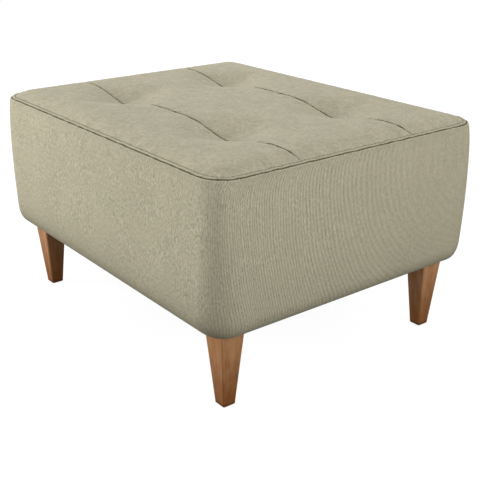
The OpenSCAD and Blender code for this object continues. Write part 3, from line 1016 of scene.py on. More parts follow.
@dataclass(frozen=True)
class TopForm:
    """The upper face of the cushion: crown, channels, tufts, stitch line and gathers."""

    body: BodyForm
    crown: float
    panel_y: float
    tuft_x: float
    margin_w: float = 7 * MM
    margin_rise: float = 1.4 * MM
    edge_roll_w: float = 54 * MM
    channel_depth: float = 2.2 * MM
    channel_w: float = 12 * MM
    tuft_depth: float = 21 * MM
    tuft_reach_along: float = 132 * MM
    tuft_reach_across: float = 116 * MM
    least_reach: float = 0.48
    crown_power: float = 2.2
    along_powers: tuple[float, float] = (1.5, 2.2)
    across_powers: tuple[float, float] = (1.4, 1.8)
    stitch_dip: float = 0.45 * MM
    stitch_dip_w: float = 2.2 * MM
    welt_rise: float = 0.35 * MM
    welt_w: float = 1.6 * MM
    seam_gathers: Waves = Waves(11, 6 * MM, 13 * MM, 0.22 * MM)
    edge_gathers: Waves = Waves(23, 6.5 * MM, 15 * MM, 0.16 * MM)
    long_gathers: Waves = Waves(31, 24 * MM, 70 * MM, 0.32 * MM)
    seam_reach: float = 7 * MM
    long_seam_reach: float = 22 * MM
    edge_reach: float = 6 * MM
    long_edge_reach: float = 20 * MM
    plain_w: float = 1.5 * MM
    fade_w: float = 10 * MM

    @classmethod
    def from_frame(cls, body: BodyForm) -> "TopForm":
        """Reads the crown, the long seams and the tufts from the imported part.

        Args:
            body: The body under the cushion.

        Returns:
            The cushion's form.
        """
        panel_gap, knot_r = 0.3 * MM, 3 * MM
        centre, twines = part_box("cover_top_centre"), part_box("tuft_twines")
        return cls(body, centre[1].z - body.seam_h, centre[1].y + panel_gap / 2, twines[1].x - knot_r)

    def crown_share(self, inside: Array) -> Array:
        """Share of the crown at a distance inside the seam: 1 - a power of (1 - share of the roll)."""
        return 1 - (1 - np.clip((inside - self.margin_w) / self.edge_roll_w, 0, 1)) ** self.crown_power

    def tuft_pull(self, x: Array, y: Array) -> Array:
        """Pull of the tufts, 1 at a tuft and 0 out of its reach.

        Along the seam the pull is 1 less a power of the share of its reach, all to a second power. Across
        the seam it falls in the same way, over a reach that narrows away from the tuft.

        Args:
            x: Places along the length.
            y: Places along the depth.

        Returns:
            The pull at each place.
        """
        (inner, outer), (inner_q, outer_q) = self.along_powers, self.across_powers
        along = np.clip(np.abs(np.abs(x) - self.tuft_x) / self.tuft_reach_along, 0, 1)
        pull = (1 - along**inner) ** outer
        reach = self.tuft_reach_across * (self.least_reach + (1 - self.least_reach) * pull)
        across = np.clip(np.abs(np.abs(y) - self.panel_y) / reach, 0, 1)
        return pull * (1 - across**inner_q) ** outer_q

    def gathers(self, x: Array, y: Array, inside: Array) -> Array:
        """Small waves where the cloth is gathered into its seams, dying out away from them.

        Each seam has short waves close to it and long ones that reach further. Its place is shifted, so
        that no two seams have the same waves.

        Args:
            x: Places along the length.
            y: Places along the depth.
            inside: Their distance inside the seam round the top.

        Returns:
            The height of the waves.
        """
        across = np.abs(np.abs(y) - self.panel_y)
        side = np.where(np.abs(y) > self.panel_y, 1.0, -1.0) * np.sign(y)
        seam = self.seam_gathers.along(x + 0.31 * side + 0.57 * np.sign(y))
        seam = seam * np.exp(-across / self.seam_reach)
        seam = seam + self.long_gathers.along(x + 0.83 * side) * np.exp(-across / self.long_seam_reach)
        half_w, half_d = self.body.half()
        run = np.where(half_w - np.abs(x) < half_d - np.abs(y), y + 1.0, x)
        edge = self.edge_gathers.along(run) * np.exp(-inside / self.edge_reach)
        edge = edge + self.long_gathers.along(run * 1.1 + 0.4) * np.exp(-inside / self.long_edge_reach)
        return seam * np.clip((inside - self.plain_w) / self.fade_w, 0, 1) + edge

    def height(self, x: Array, y: Array) -> Array:
        """Height of the cover's upper face, without the folds into its seams.

        Args:
            x: Places along the length.
            y: Places along the depth.

        Returns:
            The heights.
        """
        inside = self.body.inside(x, y)
        channel = np.clip(1 - np.abs(np.abs(y) - self.panel_y) / self.channel_w, 0, 1) ** 2
        rise = self.crown - self.margin_rise - self.channel_depth * channel
        cushion = self.margin_rise + self.crown_share(inside) * rise
        stitch = np.exp(-(((inside - STITCH_IN) / self.stitch_dip_w) ** 2))
        welt = np.exp(-(((inside - STITCH_IN / 2) / self.welt_w) ** 2))
        margin = self.welt_rise * welt - self.stitch_dip * stitch
        tuft = self.tuft_depth * self.tuft_pull(x, y)
        return self.body.seam_h + cushion + margin + self.gathers(x, y, inside) - tuft

    def rounded(self, p: Array, q: Array, inset: float) -> tuple[Array, Array]:
        """Points of a square-cornered rectangle, carried into the seam's rounded one less an inset."""
        return round_corners(p, q, self.body.half(-inset), self.body.seam_corner_r - inset)


@dataclass
class TopCover:
    """The sewn top: three panels that fold down into their seams, and the stitching round their edge."""

    form: TopForm
    outer_fold: Fold = Fold(2.6 * MM, 2.3 * MM, 0.9 * MM, 1.8 * MM)
    seam_fold: Fold = Fold(2.6 * MM, 0.3 * MM, 0.02 * MM, 0.2 * MM)
    cloth_t: float = 1.2 * MM
    fine_step: float = 0.5 * MM
    step: float = 3.4 * MM
    crease_inset: float = 0.7 * MM
    outer_w: float = 20 * MM
    seam_end_w: float = 12 * MM
    taut_slope: float = 0.25
    taut_close: float = 0.84
    front_dark: float = 0.72
    end_dark: float = 0.28
    loose_reach: tuple[float, float] = (12 * MM, 50 * MM)
    loose_pale: float = 0.40
    least_run: float = 0.01 * MM
    seam_gap: float = 0.12 * MM
    allowance: float = 10 * MM
    stitch_pitch: float = 8.0 * MM
    stitch_len: float = 4.8 * MM
    thread_r: float = 0.6 * MM
    thread_sides: int = 6
    thread_end: float = 0.45
    line_step: float = 2 * MM
    line_arc_steps: int = 24
    seam_slant: float = 0.9 * MM
    seam_thread_drop: float = 1.3 * MM
    seam_thread_top: float = 0.35

    def _folded(self, length: float, start: Fold, end: Fold) -> tuple[Array, Array, Array]:
        """Places across a panel whose two edges fold down.

        Args:
            length: The width of the panel between its two seams.
            start: The fold at its first edge.
            end: The fold at its last edge.

        Returns:
            The distance of each place from the first seam, its depth in a fold and its length of cloth.
        """
        level = length - start.radius - end.radius
        flat = graded_both(level, self.fine_step, self.step)[1:-1]
        first, last = start.places(), end.places()[::-1]
        across = np.concatenate([start.inward(first), start.radius + flat, length - end.inward(last)])
        drop = np.concatenate([start.drop(first), np.zeros(len(flat)), end.drop(last)])
        whole = start.length() + level + end.length()
        return across, drop, np.concatenate([first, start.length() + flat, whole - last])

    def _panel(self, name: str, low_y: float, high_y: float, folds: tuple[Fold, Fold]) -> bpy.types.Object:
        """Builds one panel between two depths.

        Columns fold at both ends of the stool, rows fold at the panel's own edges, and where two folds
        meet the deeper one counts. The fold into a long seam closes where the cloth is pulled down
        steeply, and flattens out toward the topstitching, which holds it shut. The folds carry painted
        shade by their depth: in the long seams it is darkest at the back seam and toward the right, and
        paler near both ends. The lower face is the upper one moved in along its normals.

        Args:
            name: The piece's name.
            low_y: The depth of its front edge.
            high_y: The depth of its back edge.
            folds: The folds at its front and its back edge.

        Returns:
            The panel.
        """
        half, half_d = self.form.body.half(-self.crease_inset)
        along, drop_x, cloth_x = self._folded(2 * half, self.outer_fold, self.outer_fold)
        depth, drop_y, cloth_y = self._folded(high_y - low_y, *folds)
        p, q = np.meshgrid(along - half, low_y + depth)
        x, y = self.form.rounded(p, q, self.crease_inset)
        inside, height = self.form.body.inside(x, y), self.form.height(x, y)
        slope = np.abs(np.gradient(height, axis=1)) / np.maximum(np.gradient(p, axis=1), self.least_run)
        shut = 1 - self.taut_close * np.clip(slope / self.taut_slope, 0, 1) ** 2
        shut = shut * np.clip((inside - STITCH_IN) / self.seam_end_w, 0, 1)
        outer_row = np.abs(q) > half_d + self.crease_inset - self.outer_w
        deep_y = drop_y[:, None] * np.where(outer_row, 1.0, shut)
        # Painted shade in the long seams: stronger at the back seam and to the right, paler toward the rim
        near, far = self.loose_reach
        taut = np.clip((inside - near) / (far - near), 0, 1)
        dark = np.where(q < 0, self.front_dark, 1.0) + self.end_dark * p / half
        dark = dark * (1 - self.loose_pale * (1 - taut))
        seam_shade = np.minimum(self.seam_fold.shaded(deep_y) * dark, 1)
        shade = np.where(outer_row, self.outer_fold.shaded(deep_y), seam_shade)
        shade = np.maximum(shade, self.outer_fold.shaded(drop_x)[None, :])
        upper = np.stack([x, y, height - np.maximum(drop_x[None, :], deep_y)], axis=-1)
        lower = upper - grid_normals(upper) * self.cloth_t
        uv = np.stack(np.meshgrid(cloth_x, low_y + cloth_y), axis=-1)
        return closed_between(name, upper, lower, uv, {"shade": shade, "rim": inside})

    def build(self) -> None:
        edge = self.form.body.half(-self.crease_inset)[1]
        seam, gap = self.form.panel_y, self.seam_gap
        outer, inner = self.outer_fold, self.seam_fold
        spans = {
            "front": (-edge, -seam - gap, (outer, inner)),
            "centre": (-seam + gap, seam - gap, (inner, inner)),
            "back": (seam + gap, edge, (inner, outer)),
        }
        for place, (low_y, high_y, folds) in spans.items():
            panel = self._panel(f"top_{place}_cloth", low_y, high_y, folds)
            declare(panel, TOP_CLOTH, f"cover_top_{place}")
            cut = (self.form.body.seam_w + 2 * self.allowance, high_y - low_y + 2 * self.allowance)
        self._topstitching()
        self._seam_stitching()

    def _spread(self, inset: float, count: int, reach: Array) -> tuple[Array, Array]:
        """Places of stitches along a line inside the seam round the top.

        Args:
            inset: How far the line lies inside the seam.
            count: How many stitches go round.
            reach: Distances of a stitch's places from its middle, along the line.

        Returns:
            X and y, one row a stitch.
        """
        body = self.form.body
        lap = Lap(body, self.line_step, self.line_arc_steps)
        line = lap.outline(*body.half(-inset), body.seam_corner_r - inset)[0]
        closed = np.concatenate([line, line[:1]])
        run = run_along(closed)
        at = ((np.arange(count) + 0.5) * run[-1] / count)[:, None] + reach
        return tuple(np.interp(at % run[-1], run, closed[:, k]) for k in (0, 1))

    def _stitches(self) -> int:
        """How many topstitches go round, at about the pitch."""
        body = self.form.body
        return round((2 * (body.seam_w + body.seam_d) - (8 - TURN) * body.seam_corner_r) / self.stitch_pitch)

    def _topstitching(self) -> None:
        """Builds the topstitching: tubes along the line that dive into the cloth at both ends."""
        travel = np.linspace(-1, 1, 5)
        x, y = self._spread(STITCH_IN, self._stitches(), travel * self.stitch_len / 2)
        bow = 1 - np.abs(travel) ** 4
        z = self.form.height(x, y) + (bow * 1.5 - 1.0) * self.thread_r
        self._threads("topstitch_thread", np.stack([x, y, z], axis=-1), bow)

    def _seam_stitching(self) -> None:
        """Builds the stitches that show in the seam round the top, slanting down across its mouth."""
        travel = np.linspace(-1, 1, 5)
        count, reach, share = 2 * self._stitches(), travel * self.seam_slant, (travel + 1) / 2
        outer, inner = self._spread(0.0, count, reach), self._spread(2 * self.crease_inset, count, reach)
        x, y = (near + (far - near) * share for far, near in zip(outer, inner))
        z = self.form.body.seam_h - self.seam_thread_drop * (self.seam_thread_top + share) + 0 * x
        self._threads("seam_thread", np.stack([x, y, z], axis=-1), 1 - np.abs(travel) ** 4)

    def _threads(self, name: str, centre: Array, bow: Array) -> None:
        """Builds, dresses and declares a row of stitches.

        Each stitch is a tube, whose radius grows from a share of the full one to all of it with the bow.

        Args:
            name: The piece's name.
            centre: The middle line of each stitch.
            bow: 1 where a stitch is full and 0 where it ends.
        """
        ahead = np.gradient(centre, axis=1)
        ahead /= np.linalg.norm(ahead, axis=-1, keepdims=True)
        side = np.cross(np.array([0.0, 0.0, 1.0]), ahead)
        side /= np.linalg.norm(side, axis=-1, keepdims=True)
        over = np.cross(ahead, side)
        angle = TURN * np.arange(self.thread_sides)[:, None] / self.thread_sides
        radius = self.thread_r * (self.thread_end + (1 - self.thread_end) * bow)[None, :, None, None]
        ring = side[:, :, None] * np.cos(angle) + over[:, :, None] * np.sin(angle)
        thread = tubes(name, centre[:, :, None] + radius * ring)
        declare(thread, SEWING_THREAD)
        LOG.info("%s: %d stitches", name, len(centre))


@dataclass
class SideBand:
    """The cover's band: one strip of cloth round all four sides, from its lip to the hem underneath."""

    form: BodyForm
    cloth_t: float = 1.2 * MM
    step: float = 4.6 * MM
    side_step: float = 6.4 * MM
    lip_step: float = 0.7 * MM
    growth: float = 1.22
    arc_steps: int = 26
    crease_off: float = -0.5 * MM
    lip_r: float = 1.5 * MM
    lip_drop: float = 1.5 * MM
    lip_fall: float = 6 * MM
    flange_drop: float = 4.6 * MM
    hidden_share: float = 0.6
    allowance: float = 7 * MM
    hem_w: float = 24 * MM
    corner_w: float = 40 * MM
    bow: float = 6 * MM
    end_bow: float = 28 * MM
    bow_reach: float = 170 * MM
    upright_drop: float = 25 * MM
    spread_reach: float = 280 * MM
    lean: float = 16 * MM
    lean_reach: float = 22 * MM
    rib_start: float = 0.25
    rib_fade: tuple[float, float] = (70 * MM, 430 * MM)
    rib_least: float = 0.15
    corner_share: float = 0.4
    calm: float = 0.50
    calm_ribbed: float = 0.2
    # Painted shade near the floor: low on the sides, in the roll, and on the front, back and left
    low_shade: float = 0.28
    low_reach: float = 75 * MM
    roll_shade: float = 0.27
    roll_reach: float = 13 * MM
    right_tighter: float = 0.45
    front_shade: float = 0.21
    front_reach: float = 45 * MM
    gathers: Waves = Waves(47, 6.5 * MM, 14 * MM, 0.15 * MM)
    gather_reach: float = 7 * MM
    tucks: Waves = Waves(53, 26 * MM, 80 * MM, 0.28 * MM)
    tuck_reach: float = 26 * MM
    swells: Waves = Waves(61, 110 * MM, 330 * MM, 0.5 * MM)

    def profile(self) -> Array:
        """Outer face of the band from its turned-in edge, over the lip and down to the hem.

        The flange and the wall are straight, the lip is half a circle, the side is the body's own with
        what the lip adds dying out below it, the roll is a quarter ellipse and the hem is flat.

        Returns:
            The distance outside the seam and the height of each place, one a row.
        """
        form = self.form
        lip_z, lip_off = form.seam_h - self.lip_drop - self.lip_r, self.crease_off + self.lip_r
        flange_z = form.seam_h - self.flange_drop
        turn, angle = np.linspace(TURN / 2, 0, 15), np.linspace(0, TURN / 4, 18)[1:]
        down = lip_z - graded(lip_z - form.roll_z, self.lip_step, self.side_step, self.growth)[1:]
        added = (lip_off + self.lip_r - form.side_out(lip_z)) * np.exp((down - lip_z) / self.lip_fall)
        reach = form.side_out(form.roll_z) - form.frame_off
        parts = [
            (np.linspace(-self.allowance, self.crease_off, 4), np.full(4, flange_z)),
            ([self.crease_off], [(flange_z + lip_z) / 2]),
            (lip_off + self.lip_r * np.cos(turn), lip_z + self.lip_r * np.sin(turn)),
            (form.side_out(down) + added, down),
            (form.frame_off + reach * np.cos(angle), form.roll_z - form.roll_h * np.sin(angle)),
            (form.frame_off - self.hem_w * np.array([0.2, 0.6, 1.0]), np.full(3, form.hem_z)),
        ]
        return np.concatenate([np.column_stack(part) for part in parts])

    def _at_right(self, ring: Array) -> Array:
        """1 for places on the right end, falling to 0 round its corners."""
        return np.clip((ring[:, 0] - self.form.seam_w / 2) / self.corner_w + 1, 0, 1)

    def _way_back(self, ring: Array) -> Array:
        """How far each place lies behind the front corners, at a share of the depth off the middle."""
        return np.maximum(ring[:, 1] + self.corner_share * self.form.seam_d, 0)

    def _marks(self, ring: Array, z: Array, hidden: Array) -> dict[str, Array]:
        """What the cloth's finish reads at each place, from 0 to 1.

        The ribs show fully at the front of the right end and fade toward its back. The nap is laid flat
        on the right end, more so where its ribs fade. Three painted shades darken the cloth low on the
        sides, for the shade near the floor: one dies out as an exponential of the height above the hem, one
        in the roll dies out faster, faster still on the right end, and one on the other sides as the
        exponential of that height's square.

        Args:
            ring: The seam's outline.
            z: The height of each row.
            hidden: How far each row lies hidden in the seam, which gets that much painted shade.

        Returns:
            The marks by their names, each rows by places.
        """
        right, (near, far) = self._at_right(ring), self.rib_fade
        fade = np.clip((far - self._way_back(ring)) / (far - near), self.rib_least, 1)
        ribbed = self.rib_start * (1 - right) + right * fade
        up = (z - self.form.hem_z)[:, None]
        # Painted shade near the floor, strongest at the hem
        shade = self.low_shade * np.exp(-up / self.low_reach)
        shade = shade + self.roll_shade * np.exp(-up / (self.roll_reach * (1 - self.right_tighter * right)))
        shade = shade + self.front_shade * np.exp(-((up / self.front_reach) ** 2)) * (1 - right)
        # The part of the lip hidden in the seam gets painted shade as well
        marks = {"shade": np.maximum(hidden[:, None], np.minimum(shade, 1.0))}
        marks |= {"ribbed": ribbed, "calmed": right * (self.calm - self.calm_ribbed * ribbed)}
        return {name: np.broadcast_to(values, (len(z), len(ring))) for name, values in marks.items()}

    def _laid(self, ring: Array, run: Array, z: Array, cloth: Array) -> tuple[Array, float]:
        """Flat coordinates of the band's cloth, whose ribs bow and spread where it is pulled.

        The ribs bow by the square of the height's share below the level where they stand upright. At the
        right end they spread as the exponential of the way back, bow more in step with it, and lean back
        right under the seam, where the cloth is gathered, dying out as an exponential of the depth.

        Args:
            ring: The seam's outline.
            run: Distance of each place along it, and its length.
            z: The height of each row.
            cloth: The length of cloth down to each row.

        Returns:
            The coordinates, and the length after which they start again.
        """
        right, way_back = self._at_right(ring), self._way_back(ring)
        spread = np.exp(-way_back / self.spread_reach)
        across = np.concatenate([[0.0], np.cumsum(np.diff(run) * (1 + right * (spread - 1)))])
        share = (self.form.seam_h - self.upright_drop - z) / self.bow_reach
        bow = self.bow + right * self.end_bow * way_back / self.form.seam_d
        lean = self.lean * np.exp(-np.maximum(self.form.seam_h - z, 0) / self.lean_reach)
        bowed = across[None, :-1] - share[:, None] ** 2 * bow - lean[:, None] * right * spread
        return np.stack([bowed, np.broadcast_to(cloth[:, None], bowed.shape)], axis=-1), float(across[-1])

    def build(self) -> None:
        """The profile is carried round the lap of the body. Gathers, tucks and slow swells push it out
        along its normals, and the inner face is the outer one moved in by the cloth's thickness.
        """
        form = self.form
        profile = self.profile()
        off, z = profile.T
        lap = Lap(form, self.step, self.arc_steps)
        outer = lap.rings(form, off, z)
        ring = lap.outline(*form.half(), form.seam_corner_r)[0]
        run = run_along(np.concatenate([ring, ring[:1]]))
        along, around = run[:-1], run[-1]
        below = np.maximum(form.seam_h - z, 0)
        lip_share = np.clip((off - self.crease_off) / self.lip_r, 0, 1)
        swell = np.clip((z - form.hem_z) / form.roll_h, 0, 1) * np.sin(TURN / 2 * form.side_share(z))
        pushes = (
            (np.exp(-below / self.gather_reach), self.gathers),
            (np.exp(-below / self.tuck_reach), self.tucks),
            (swell, self.swells),
        )
        push = sum(np.outer(part * lip_share, waves.along(along, around)) for part, waves in pushes)
        outer = outer - grid_normals(outer, True) * push[..., None]
        inner = outer + grid_normals(outer, True) * self.cloth_t
        cloth = run_along(profile)
        flat, lap_length = self._laid(ring, run, z, cloth)
        # Painted shade on the part of the lip that turns into the seam
        near = below < self.flange_drop + self.lip_r
        hidden = near * np.clip(1 - (off - self.crease_off) / (self.hidden_share * self.lip_r), 0, 1)
        marks = self._marks(ring, z, hidden)
        band = mesh_piece(
            "band_cloth",
            np.concatenate([outer, inner[::-1]]),
            grid_faces(2 * len(z), len(ring), wrap_rows=True, wrap_columns=True)[:, ::-1],
            uv=np.concatenate([flat, flat[::-1]]),
            marks={mark: np.concatenate([values, values[::-1]]) for mark, values in marks.items()},
            lap=lap_length,
        )
        declare(band, BAND_CLOTH, "cover_band")


@dataclass
class Padding:
    """What lies under the cover: the wadding, the seat foam and a foam pad on each side."""

    top: TopForm
    cloth_gap: float = 1.9 * MM
    step: float = 7 * MM
    fold_room: float = 4.6 * MM
    fold_w: float = 3.2 * MM
    rim_in: float = 3.4 * MM
    foot_out: float = 0.4 * MM
    edge_drop: float = 6.8 * MM
    edge_in: float = 8.5 * MM
    edge_r: float = 16 * MM
    corner_slack: float = 4 * MM
    skin_t: float = 3 * MM
    soft_r: float = 5 * MM
    side_gap: float = 2.1 * MM
    lap_step: float = 12 * MM
    arc_steps: int = 12

    def __post_init__(self) -> None:
        """Keeps the body and the lap of places that the foam pieces share."""
        self.body = self.top.body
        self.lap = Lap(self.body, self.lap_step, self.arc_steps)

    def skin_r(self) -> float:
        """Corner radius of the skins' outline, which is that of the posts and a skin's thickness."""
        return self.body.base_corner_r - self.body.side_bulge + self.body.frame_off + self.skin_t

    def wadding(self) -> None:
        """Builds the wadding: the cushion's own form under the cover, down to the seat foam.

        Its upper face follows the cover a gap below it, with room for the folds of the long seams, and
        sinks under the band's turned-in edge near the rim. Its foot stands further out than its rim.
        """
        half_x, half_y = self.body.half(-self.rim_in)
        panel = self.top.panel_y
        outer = graded_both(half_y - panel, 1.2 * MM, self.step)
        centre = spread_ends(panel, 1.2 * MM, self.step)
        depth = np.concatenate([-half_y + outer[:-1], centre[:-1], panel + outer])
        p, q = np.meshgrid(spread_ends(half_x, 2 * MM, self.step), depth)
        x, y = self.top.rounded(p, q, self.rim_in)
        seam = np.exp(-((np.abs(np.abs(y) - panel) / self.fold_w) ** 2))
        under_cover = self.top.height(x, y) - self.cloth_gap - self.fold_room * seam
        inward = np.maximum(self.body.inside(x, y) - self.edge_in, 0)
        under_edge = self.body.seam_h - self.edge_drop + inward**2 / self.edge_r
        grow = 1 + (self.rim_in + self.foot_out) / half_y
        foot = np.full_like(x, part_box("top_wadding")[0].z)
        upper = np.stack([x, y, np.minimum(under_cover, under_edge)], axis=-1)
        pad = closed_between("wadding_layer", upper, np.stack([x * grow, y * grow, foot], axis=-1))
        declare(pad, WADDING, "top_wadding")

    def slab(self) -> None:
        """Builds the seat foam: a rounded block with softened edges, closed by flat faces."""
        low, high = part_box("foam_slab")
        turn = np.linspace(0, TURN / 4, 6)
        steep, shallow = self.soft_r * (1 - np.sin(turn)), self.soft_r * (1 - np.cos(turn))
        inset = np.concatenate([steep, shallow])
        z = np.concatenate([low.z + shallow, high.z - steep])
        radius = self.skin_r() + self.corner_slack - inset
        rings = at_heights(self.lap.outline(*self.body.half(self.body.skin_off - inset), radius), z)
        pad = tubes("seat_foam", rings[None])
        declare(pad, FOAM, "foam_slab")

    def sides(self) -> None:
        """Builds the four side pads, mitred at the corners.

        Each pad is a closed section carried along a quarter of the lap: the body's profile drawn in by
        the cover, then the line of the skins behind it. Its two ends are flat.
        """
        body, gap = self.body, self.side_gap
        top_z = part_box("side_foam_front")[1].z
        reach = body.side_out(body.roll_z) - body.frame_off - gap
        z_side = np.linspace(top_z, body.roll_z, 24)
        angle = np.linspace(0, math.acos((body.skin_off - body.frame_off) / reach), 10)[1:]
        off = np.concatenate([body.side_out(z_side) - gap, body.frame_off + reach * np.cos(angle)])
        z = np.concatenate([z_side, body.roll_z - (body.roll_h - gap) * np.sin(angle)])
        back_z = np.linspace(z[-1], top_z, 14)[1:]
        flat = self.lap.outline(*body.half(body.skin_off), self.skin_r())
        back = at_heights(np.repeat(flat, len(back_z), axis=0), back_z)
        section = np.concatenate([self.lap.rings(body, off, z), back])
        for middle, side in enumerate(("back", "left", "front", "right"), 1):
            away = (self.lap.angle - TURN / 4 * middle + TURN / 2) % TURN - TURN / 2
            picked = np.flatnonzero(np.abs(away) <= TURN / 8 + 1e-6)
            if side == "back":
                picked = np.roll(picked, -np.flatnonzero(np.diff(picked) > 1)[0] - 1)
            pad = tubes(f"side_foam_{side}_pad", section[:, picked].swapaxes(0, 1)[None])
            declare(pad, FOAM, f"side_foam_{side}")

    def build(self) -> None:
        """Builds all the padding."""
        self.wadding()
        self.slab()
        self.sides()


@dataclass
class Underside:
    """The dust cover under the frame, its folded edge and its staples."""

    form: BodyForm
    inset: float = 6 * MM
    step: float = 9 * MM
    sag: float = 2.4 * MM
    fixed_w: float = 60 * MM
    fold_w: float = 14 * MM
    fold_t: float = 0.5 * MM
    fold_ramp: float = 0.8 * MM
    bolt_r: float = 4 * MM
    bolt_gap: float = 0.5 * MM
    hole_sides: int = 24
    hole_reach: float = 10 * MM
    staple_pitch: float = 46 * MM
    staple_in: float = 8 * MM
    staple_corner: float = 34 * MM
    staple_w: float = 9 * MM
    wire_t: float = 0.7 * MM
    wire_soft: float = 0.15 * MM
    staple_sunk: float = 0.3 * MM
    wrinkles: Waves = Waves(71, 40 * MM, 150 * MM, 0.35 * MM)

    def build(self) -> None:
        """Builds the dust cover and its staples."""
        low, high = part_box("dust_cover")
        self._cloth(low, high)
        self._staples(low, high)

    def _cloth(self, low: Vector, high: Vector) -> None:
        """Builds the cloth: flat where it is fixed, thicker at its folded edge, sagging a little inside.

        The sag is the product of (1 - share squared) along each axis, with slow wrinkles on it.

        Args:
            low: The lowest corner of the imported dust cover.
            high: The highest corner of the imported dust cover.
        """
        p, q = np.meshgrid(*(spread_ends(half, 2 * MM, self.step) for half in (high.x, high.y)))
        x, y = round_corners(p, q, (high.x, high.y), self.form.hem_corner_r - self.inset)
        shares = (np.clip(np.abs(v) / (half - self.fixed_w), 0, 1) for v, half in ((x, high.x), (y, high.y)))
        slack = math.prod(1 - share**2 for share in shares)
        wave = self.wrinkles.along(x + 0.35 * y) + self.wrinkles.along(0.9 * y - 0.2 * x)
        edge = np.minimum(high.x - np.abs(p), high.y - np.abs(q))
        folded = np.clip((self.fold_w - edge) / self.fold_ramp, 0, 1) * self.fold_t
        lower_z = low.z - slack * (self.sag + wave)
        face = np.stack([x, y, lower_z - folded * (slack < 1)], axis=-1)
        back = np.stack([x, y, lower_z + (high.z - low.z)], axis=-1)
        cloth = closed_between("dust_cloth", back, face)
        self._cut_bolt_holes(cloth, low.z)
        declare(cloth, DUST_CLOTH, "dust_cover")
        cut = (2 * (high.x + self.fold_w), 2 * (high.y + self.fold_w))

    def _cut_bolt_holes(self, cloth: bpy.types.Object, z: float) -> None:
        """Cuts the four holes through which the leg bolts pass.

        Args:
            cloth: The dust cover.
            z: Its height.
        """
        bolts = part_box("leg_bolts")[1]
        radius = self.bolt_r + self.bolt_gap
        angle = TURN / 4 - TURN * np.arange(self.hole_sides) / self.hole_sides
        spots = np.array([(sx, sy) for sx in (-1, 1) for sy in (-1, 1)])
        spots = spots * (np.array([bolts.x, bolts.y]) - self.bolt_r)
        rings = spots[:, None] + radius * np.stack([np.cos(angle), np.sin(angle)], axis=-1)
        ends = (z + self.hole_reach, z - self.hole_reach)
        cutter = tubes(
            "bolt_holes", np.stack([at_heights(rings, np.full(len(spots), end)) for end in ends], axis=1)
        )
        cut = cloth.modifiers.new("bolt_holes", "BOOLEAN")
        cut.operation, cut.solver, cut.object = "DIFFERENCE", "EXACT", cutter
        seen = bpy.context.evaluated_depsgraph_get()
        done = bpy.data.meshes.new_from_object(cloth.evaluated_get(seen))
        cloth.modifiers.clear()
        cloth.data = done
        bpy.data.objects.remove(cutter)

    def _staples(self, low: Vector, high: Vector) -> None:
        """Builds the staples: flat wire crowns just inside the folded edge, turned along it.

        Args:
            low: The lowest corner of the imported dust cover.
            high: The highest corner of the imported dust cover.
        """
        half_x, half_y = high.x - self.staple_in, high.y - self.staple_in
        signs = np.array([[-1, -1], [1, -1], [1, 1], [-1, 1]])
        z = low.z - self.fold_t
        boxes = []
        for half, other, turned in ((half_x, half_y, False), (half_y, half_x, True)):
            reach = half - self.staple_corner
            places = np.linspace(-reach, reach, round(2 * reach / self.staple_pitch) + 1)
            size = np.array([self.staple_w, self.wire_t])[:: -1 if turned else 1] / 2
            for side in (-1, 1):
                spots = np.stack([places, np.full(len(places), side * other)], axis=-1)
                spots = (spots[:, ::-1] if turned else spots)[:, None]
                flat, soft = spots + signs * size, spots + signs * (size - self.wire_soft)
                levels = [(soft, -self.wire_t), (flat, -self.wire_t * 0.7), (flat, self.staple_sunk)]
                boxes.append(np.stack([at_heights(f, np.full(len(f), z + up)) for f, up in levels], axis=1))
        rings = np.concatenate(boxes)
        staples = tubes("dust_staples", rings)
        staples.data.shade_flat()
        declare(staples, ZINC)
        LOG.info("dust_staples: %d staples", len(rings))


class Construction:
    """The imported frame, legs and fittings, which keep their shapes and get their finishes here."""

    ENDS = ("left", "right")
    SIDES = ("front", "back")

    def finishes(self) -> dict[str, Finish]:
        """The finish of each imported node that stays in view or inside.

        Returns:
            The finishes by the nodes' names.
        """
        found = {
            "deck_bearer": PINE[Grain.ALONG_Y],
            "deck_panel": PLYWOOD,
            "leg_bolts": ZINC,
            "leg_inserts": BRASS,
            "leg_glides": GLIDE_NYLON,
            "tuft_twines": TWINE,
            "tuft_washers": WASHER_PLASTIC,
        }
        for side in self.SIDES:
            for end in self.ENDS:
                found |= {f"leg_{side}_{end}": LEG_WOOD, f"post_{side}_{end}": PINE[Grain.ALONG_Z]}
        for places, grain in ((self.SIDES, Grain.ALONG_X), (self.ENDS, Grain.ALONG_Y)):
            for place in places:
                found |= {f"{rail}_{place}": PINE[grain] for rail in ("top_rail", "low_rail")}
                found[f"skin_{place}"] = FIBREBOARD
        return found

    def build(self) -> None:
        """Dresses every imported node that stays."""
        for name, finish in self.finishes().items():
            dress(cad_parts[name], finish)


@dataclass(frozen=True)
class Lamp:
    """A square soft box that faces a point on the stool."""

    name: str
    place: Colour
    power: float
    width: float = 1.5

    def build(self, target: Vector) -> None:
        """Hangs the lamp.

        Args:
            target: The point that it faces.
        """
        light = bpy.data.lights.new(self.name, "AREA")
        light.shape, light.size, light.energy = "SQUARE", self.width, self.power
        aim(self.name, light, self.place, target - Vector(self.place))


def aim(name: str, data: bpy.types.ID, place: Colour, way: Vector) -> bpy.types.Object:
    """Hangs a lamp or a camera at a place, facing a way.

    Args:
        name: Its name.
        data: The lamp or the camera.
        place: Where it hangs.
        way: The way that it faces.

    Returns:
        The new object.
    """
    hung = bpy.data.objects.new(name, data)
    hung.location, hung.rotation_mode = place, "QUATERNION"
    hung.rotation_quaternion = way.to_track_quat("-Z", "Y")
    bpy.context.scene.collection.objects.link(hung)
    LOG.info("%s: hung", name)
    return hung


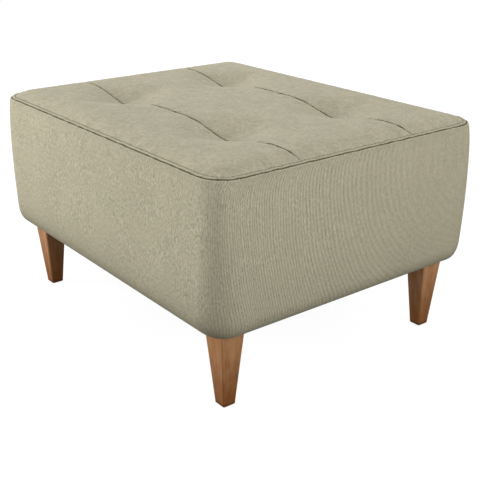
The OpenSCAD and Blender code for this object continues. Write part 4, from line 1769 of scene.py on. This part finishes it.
@dataclass
class Studio:
    """Camera, floor, backdrop and soft boxes."""

    camera_place: Colour = (1.3448, -1.0078, 0.8177)
    camera_back: Colour = (0.7333, -0.5676, 0.3743)
    lens_mm: float = 65.37
    sensor_mm: float = 36.0
    sky: float = 0.44
    floor_albedo: float = 0.03
    shadow_depth: float = 0.22
    floor_glow: float = 0.90
    floor_w: float = 14.0
    target: Colour = (0.0, 0.0, 0.27)
    lamps: tuple[Lamp, ...] = (
        Lamp("soft_box_left", (-1.9, -2.3, 0.75), 70.0),
        Lamp("soft_box_right", (2.9, 0.6, 1.2), 35.5),
        Lamp("soft_box_front", (2.2, -1.9, 1.2), 12.0),
        Lamp("soft_box_behind", (-2.2, 1.6, 1.8), 34.0),
    )

    def build(self) -> None:
        """Sets up the view, the light and the floor."""
        bpy.context.scene.view_settings.view_transform = "Standard"
        data = bpy.data.cameras.new("camera")
        data.lens, data.sensor_width = self.lens_mm, self.sensor_mm
        bpy.context.scene.camera = aim("camera", data, self.camera_place, -Vector(self.camera_back))
        self._world()
        self._floor()
        for lamp in self.lamps:
            lamp.build(Vector(self.target))

    @staticmethod
    def _seen(graph: Graph) -> Signal:
        """Tells rays that show a backdrop: from the camera, or by way of gloss or glass.

        Args:
            graph: The tree that asks.

        Returns:
            1 for such rays and 0 for others.
        """
        kinds = ("Camera", "Glossy", "Transmission")
        rays = [graph.node("LightPath", {}, f"Is {kind} Ray") for kind in kinds]
        return graph.math("MINIMUM", rays[0] + rays[1] + rays[2], 1.0)

    def _world(self) -> None:
        """Makes an even white sky, which is plain white where it is seen."""
        graph = Graph("studio", "worlds")
        strength = self.sky + self._seen(graph) * (1 - self.sky)
        sky = graph.node("Background", {"Color": (1, 1, 1, 1), "Strength": strength})
        graph.node("OutputWorld", {"Surface": sky})
        bpy.context.scene.world = graph.owner

    def _floor(self) -> None:
        """Lays the floor: white to the eye save for the stool's soft shadow, and pale to other rays."""
        corners = np.array([[-1, -1, 0], [1, -1, 0], [1, 1, 0], [-1, 1, 0]]) * self.floor_w / 2
        floor = mesh_piece("studio_floor", corners, [[0, 1, 2, 3]])
        graph = Graph("studio_floor")
        greys = ((*(grey,) * 3, 1) for grey in (self.floor_albedo, self.shadow_depth))
        pale, lit = (graph.node("BsdfDiffuse", {"Color": grey}) for grey in greys)
        glow = graph.node("Emission", {"Color": (1, 1, 1, 1), "Strength": self.floor_glow})
        white = graph.node("AddShader", {0: lit, 1: glow})
        both = graph.node("MixShader", {0: self._seen(graph), 1: pale, 2: white})
        graph.node("OutputMaterial", {"Surface": both})
        floor.data.materials.append(graph.owner)


def main() -> None:
    """Builds the studio and the stool."""
    logging.basicConfig(level=logging.INFO, format="%(name)s %(message)s")
    body = BodyForm.from_frame()
    top = TopForm.from_frame(body)
    for part in (Studio(), Construction(), Padding(top), TopCover(top), SideBand(body), Underside(body)):
        part.build()


if __name__ == "__main__":
    main()
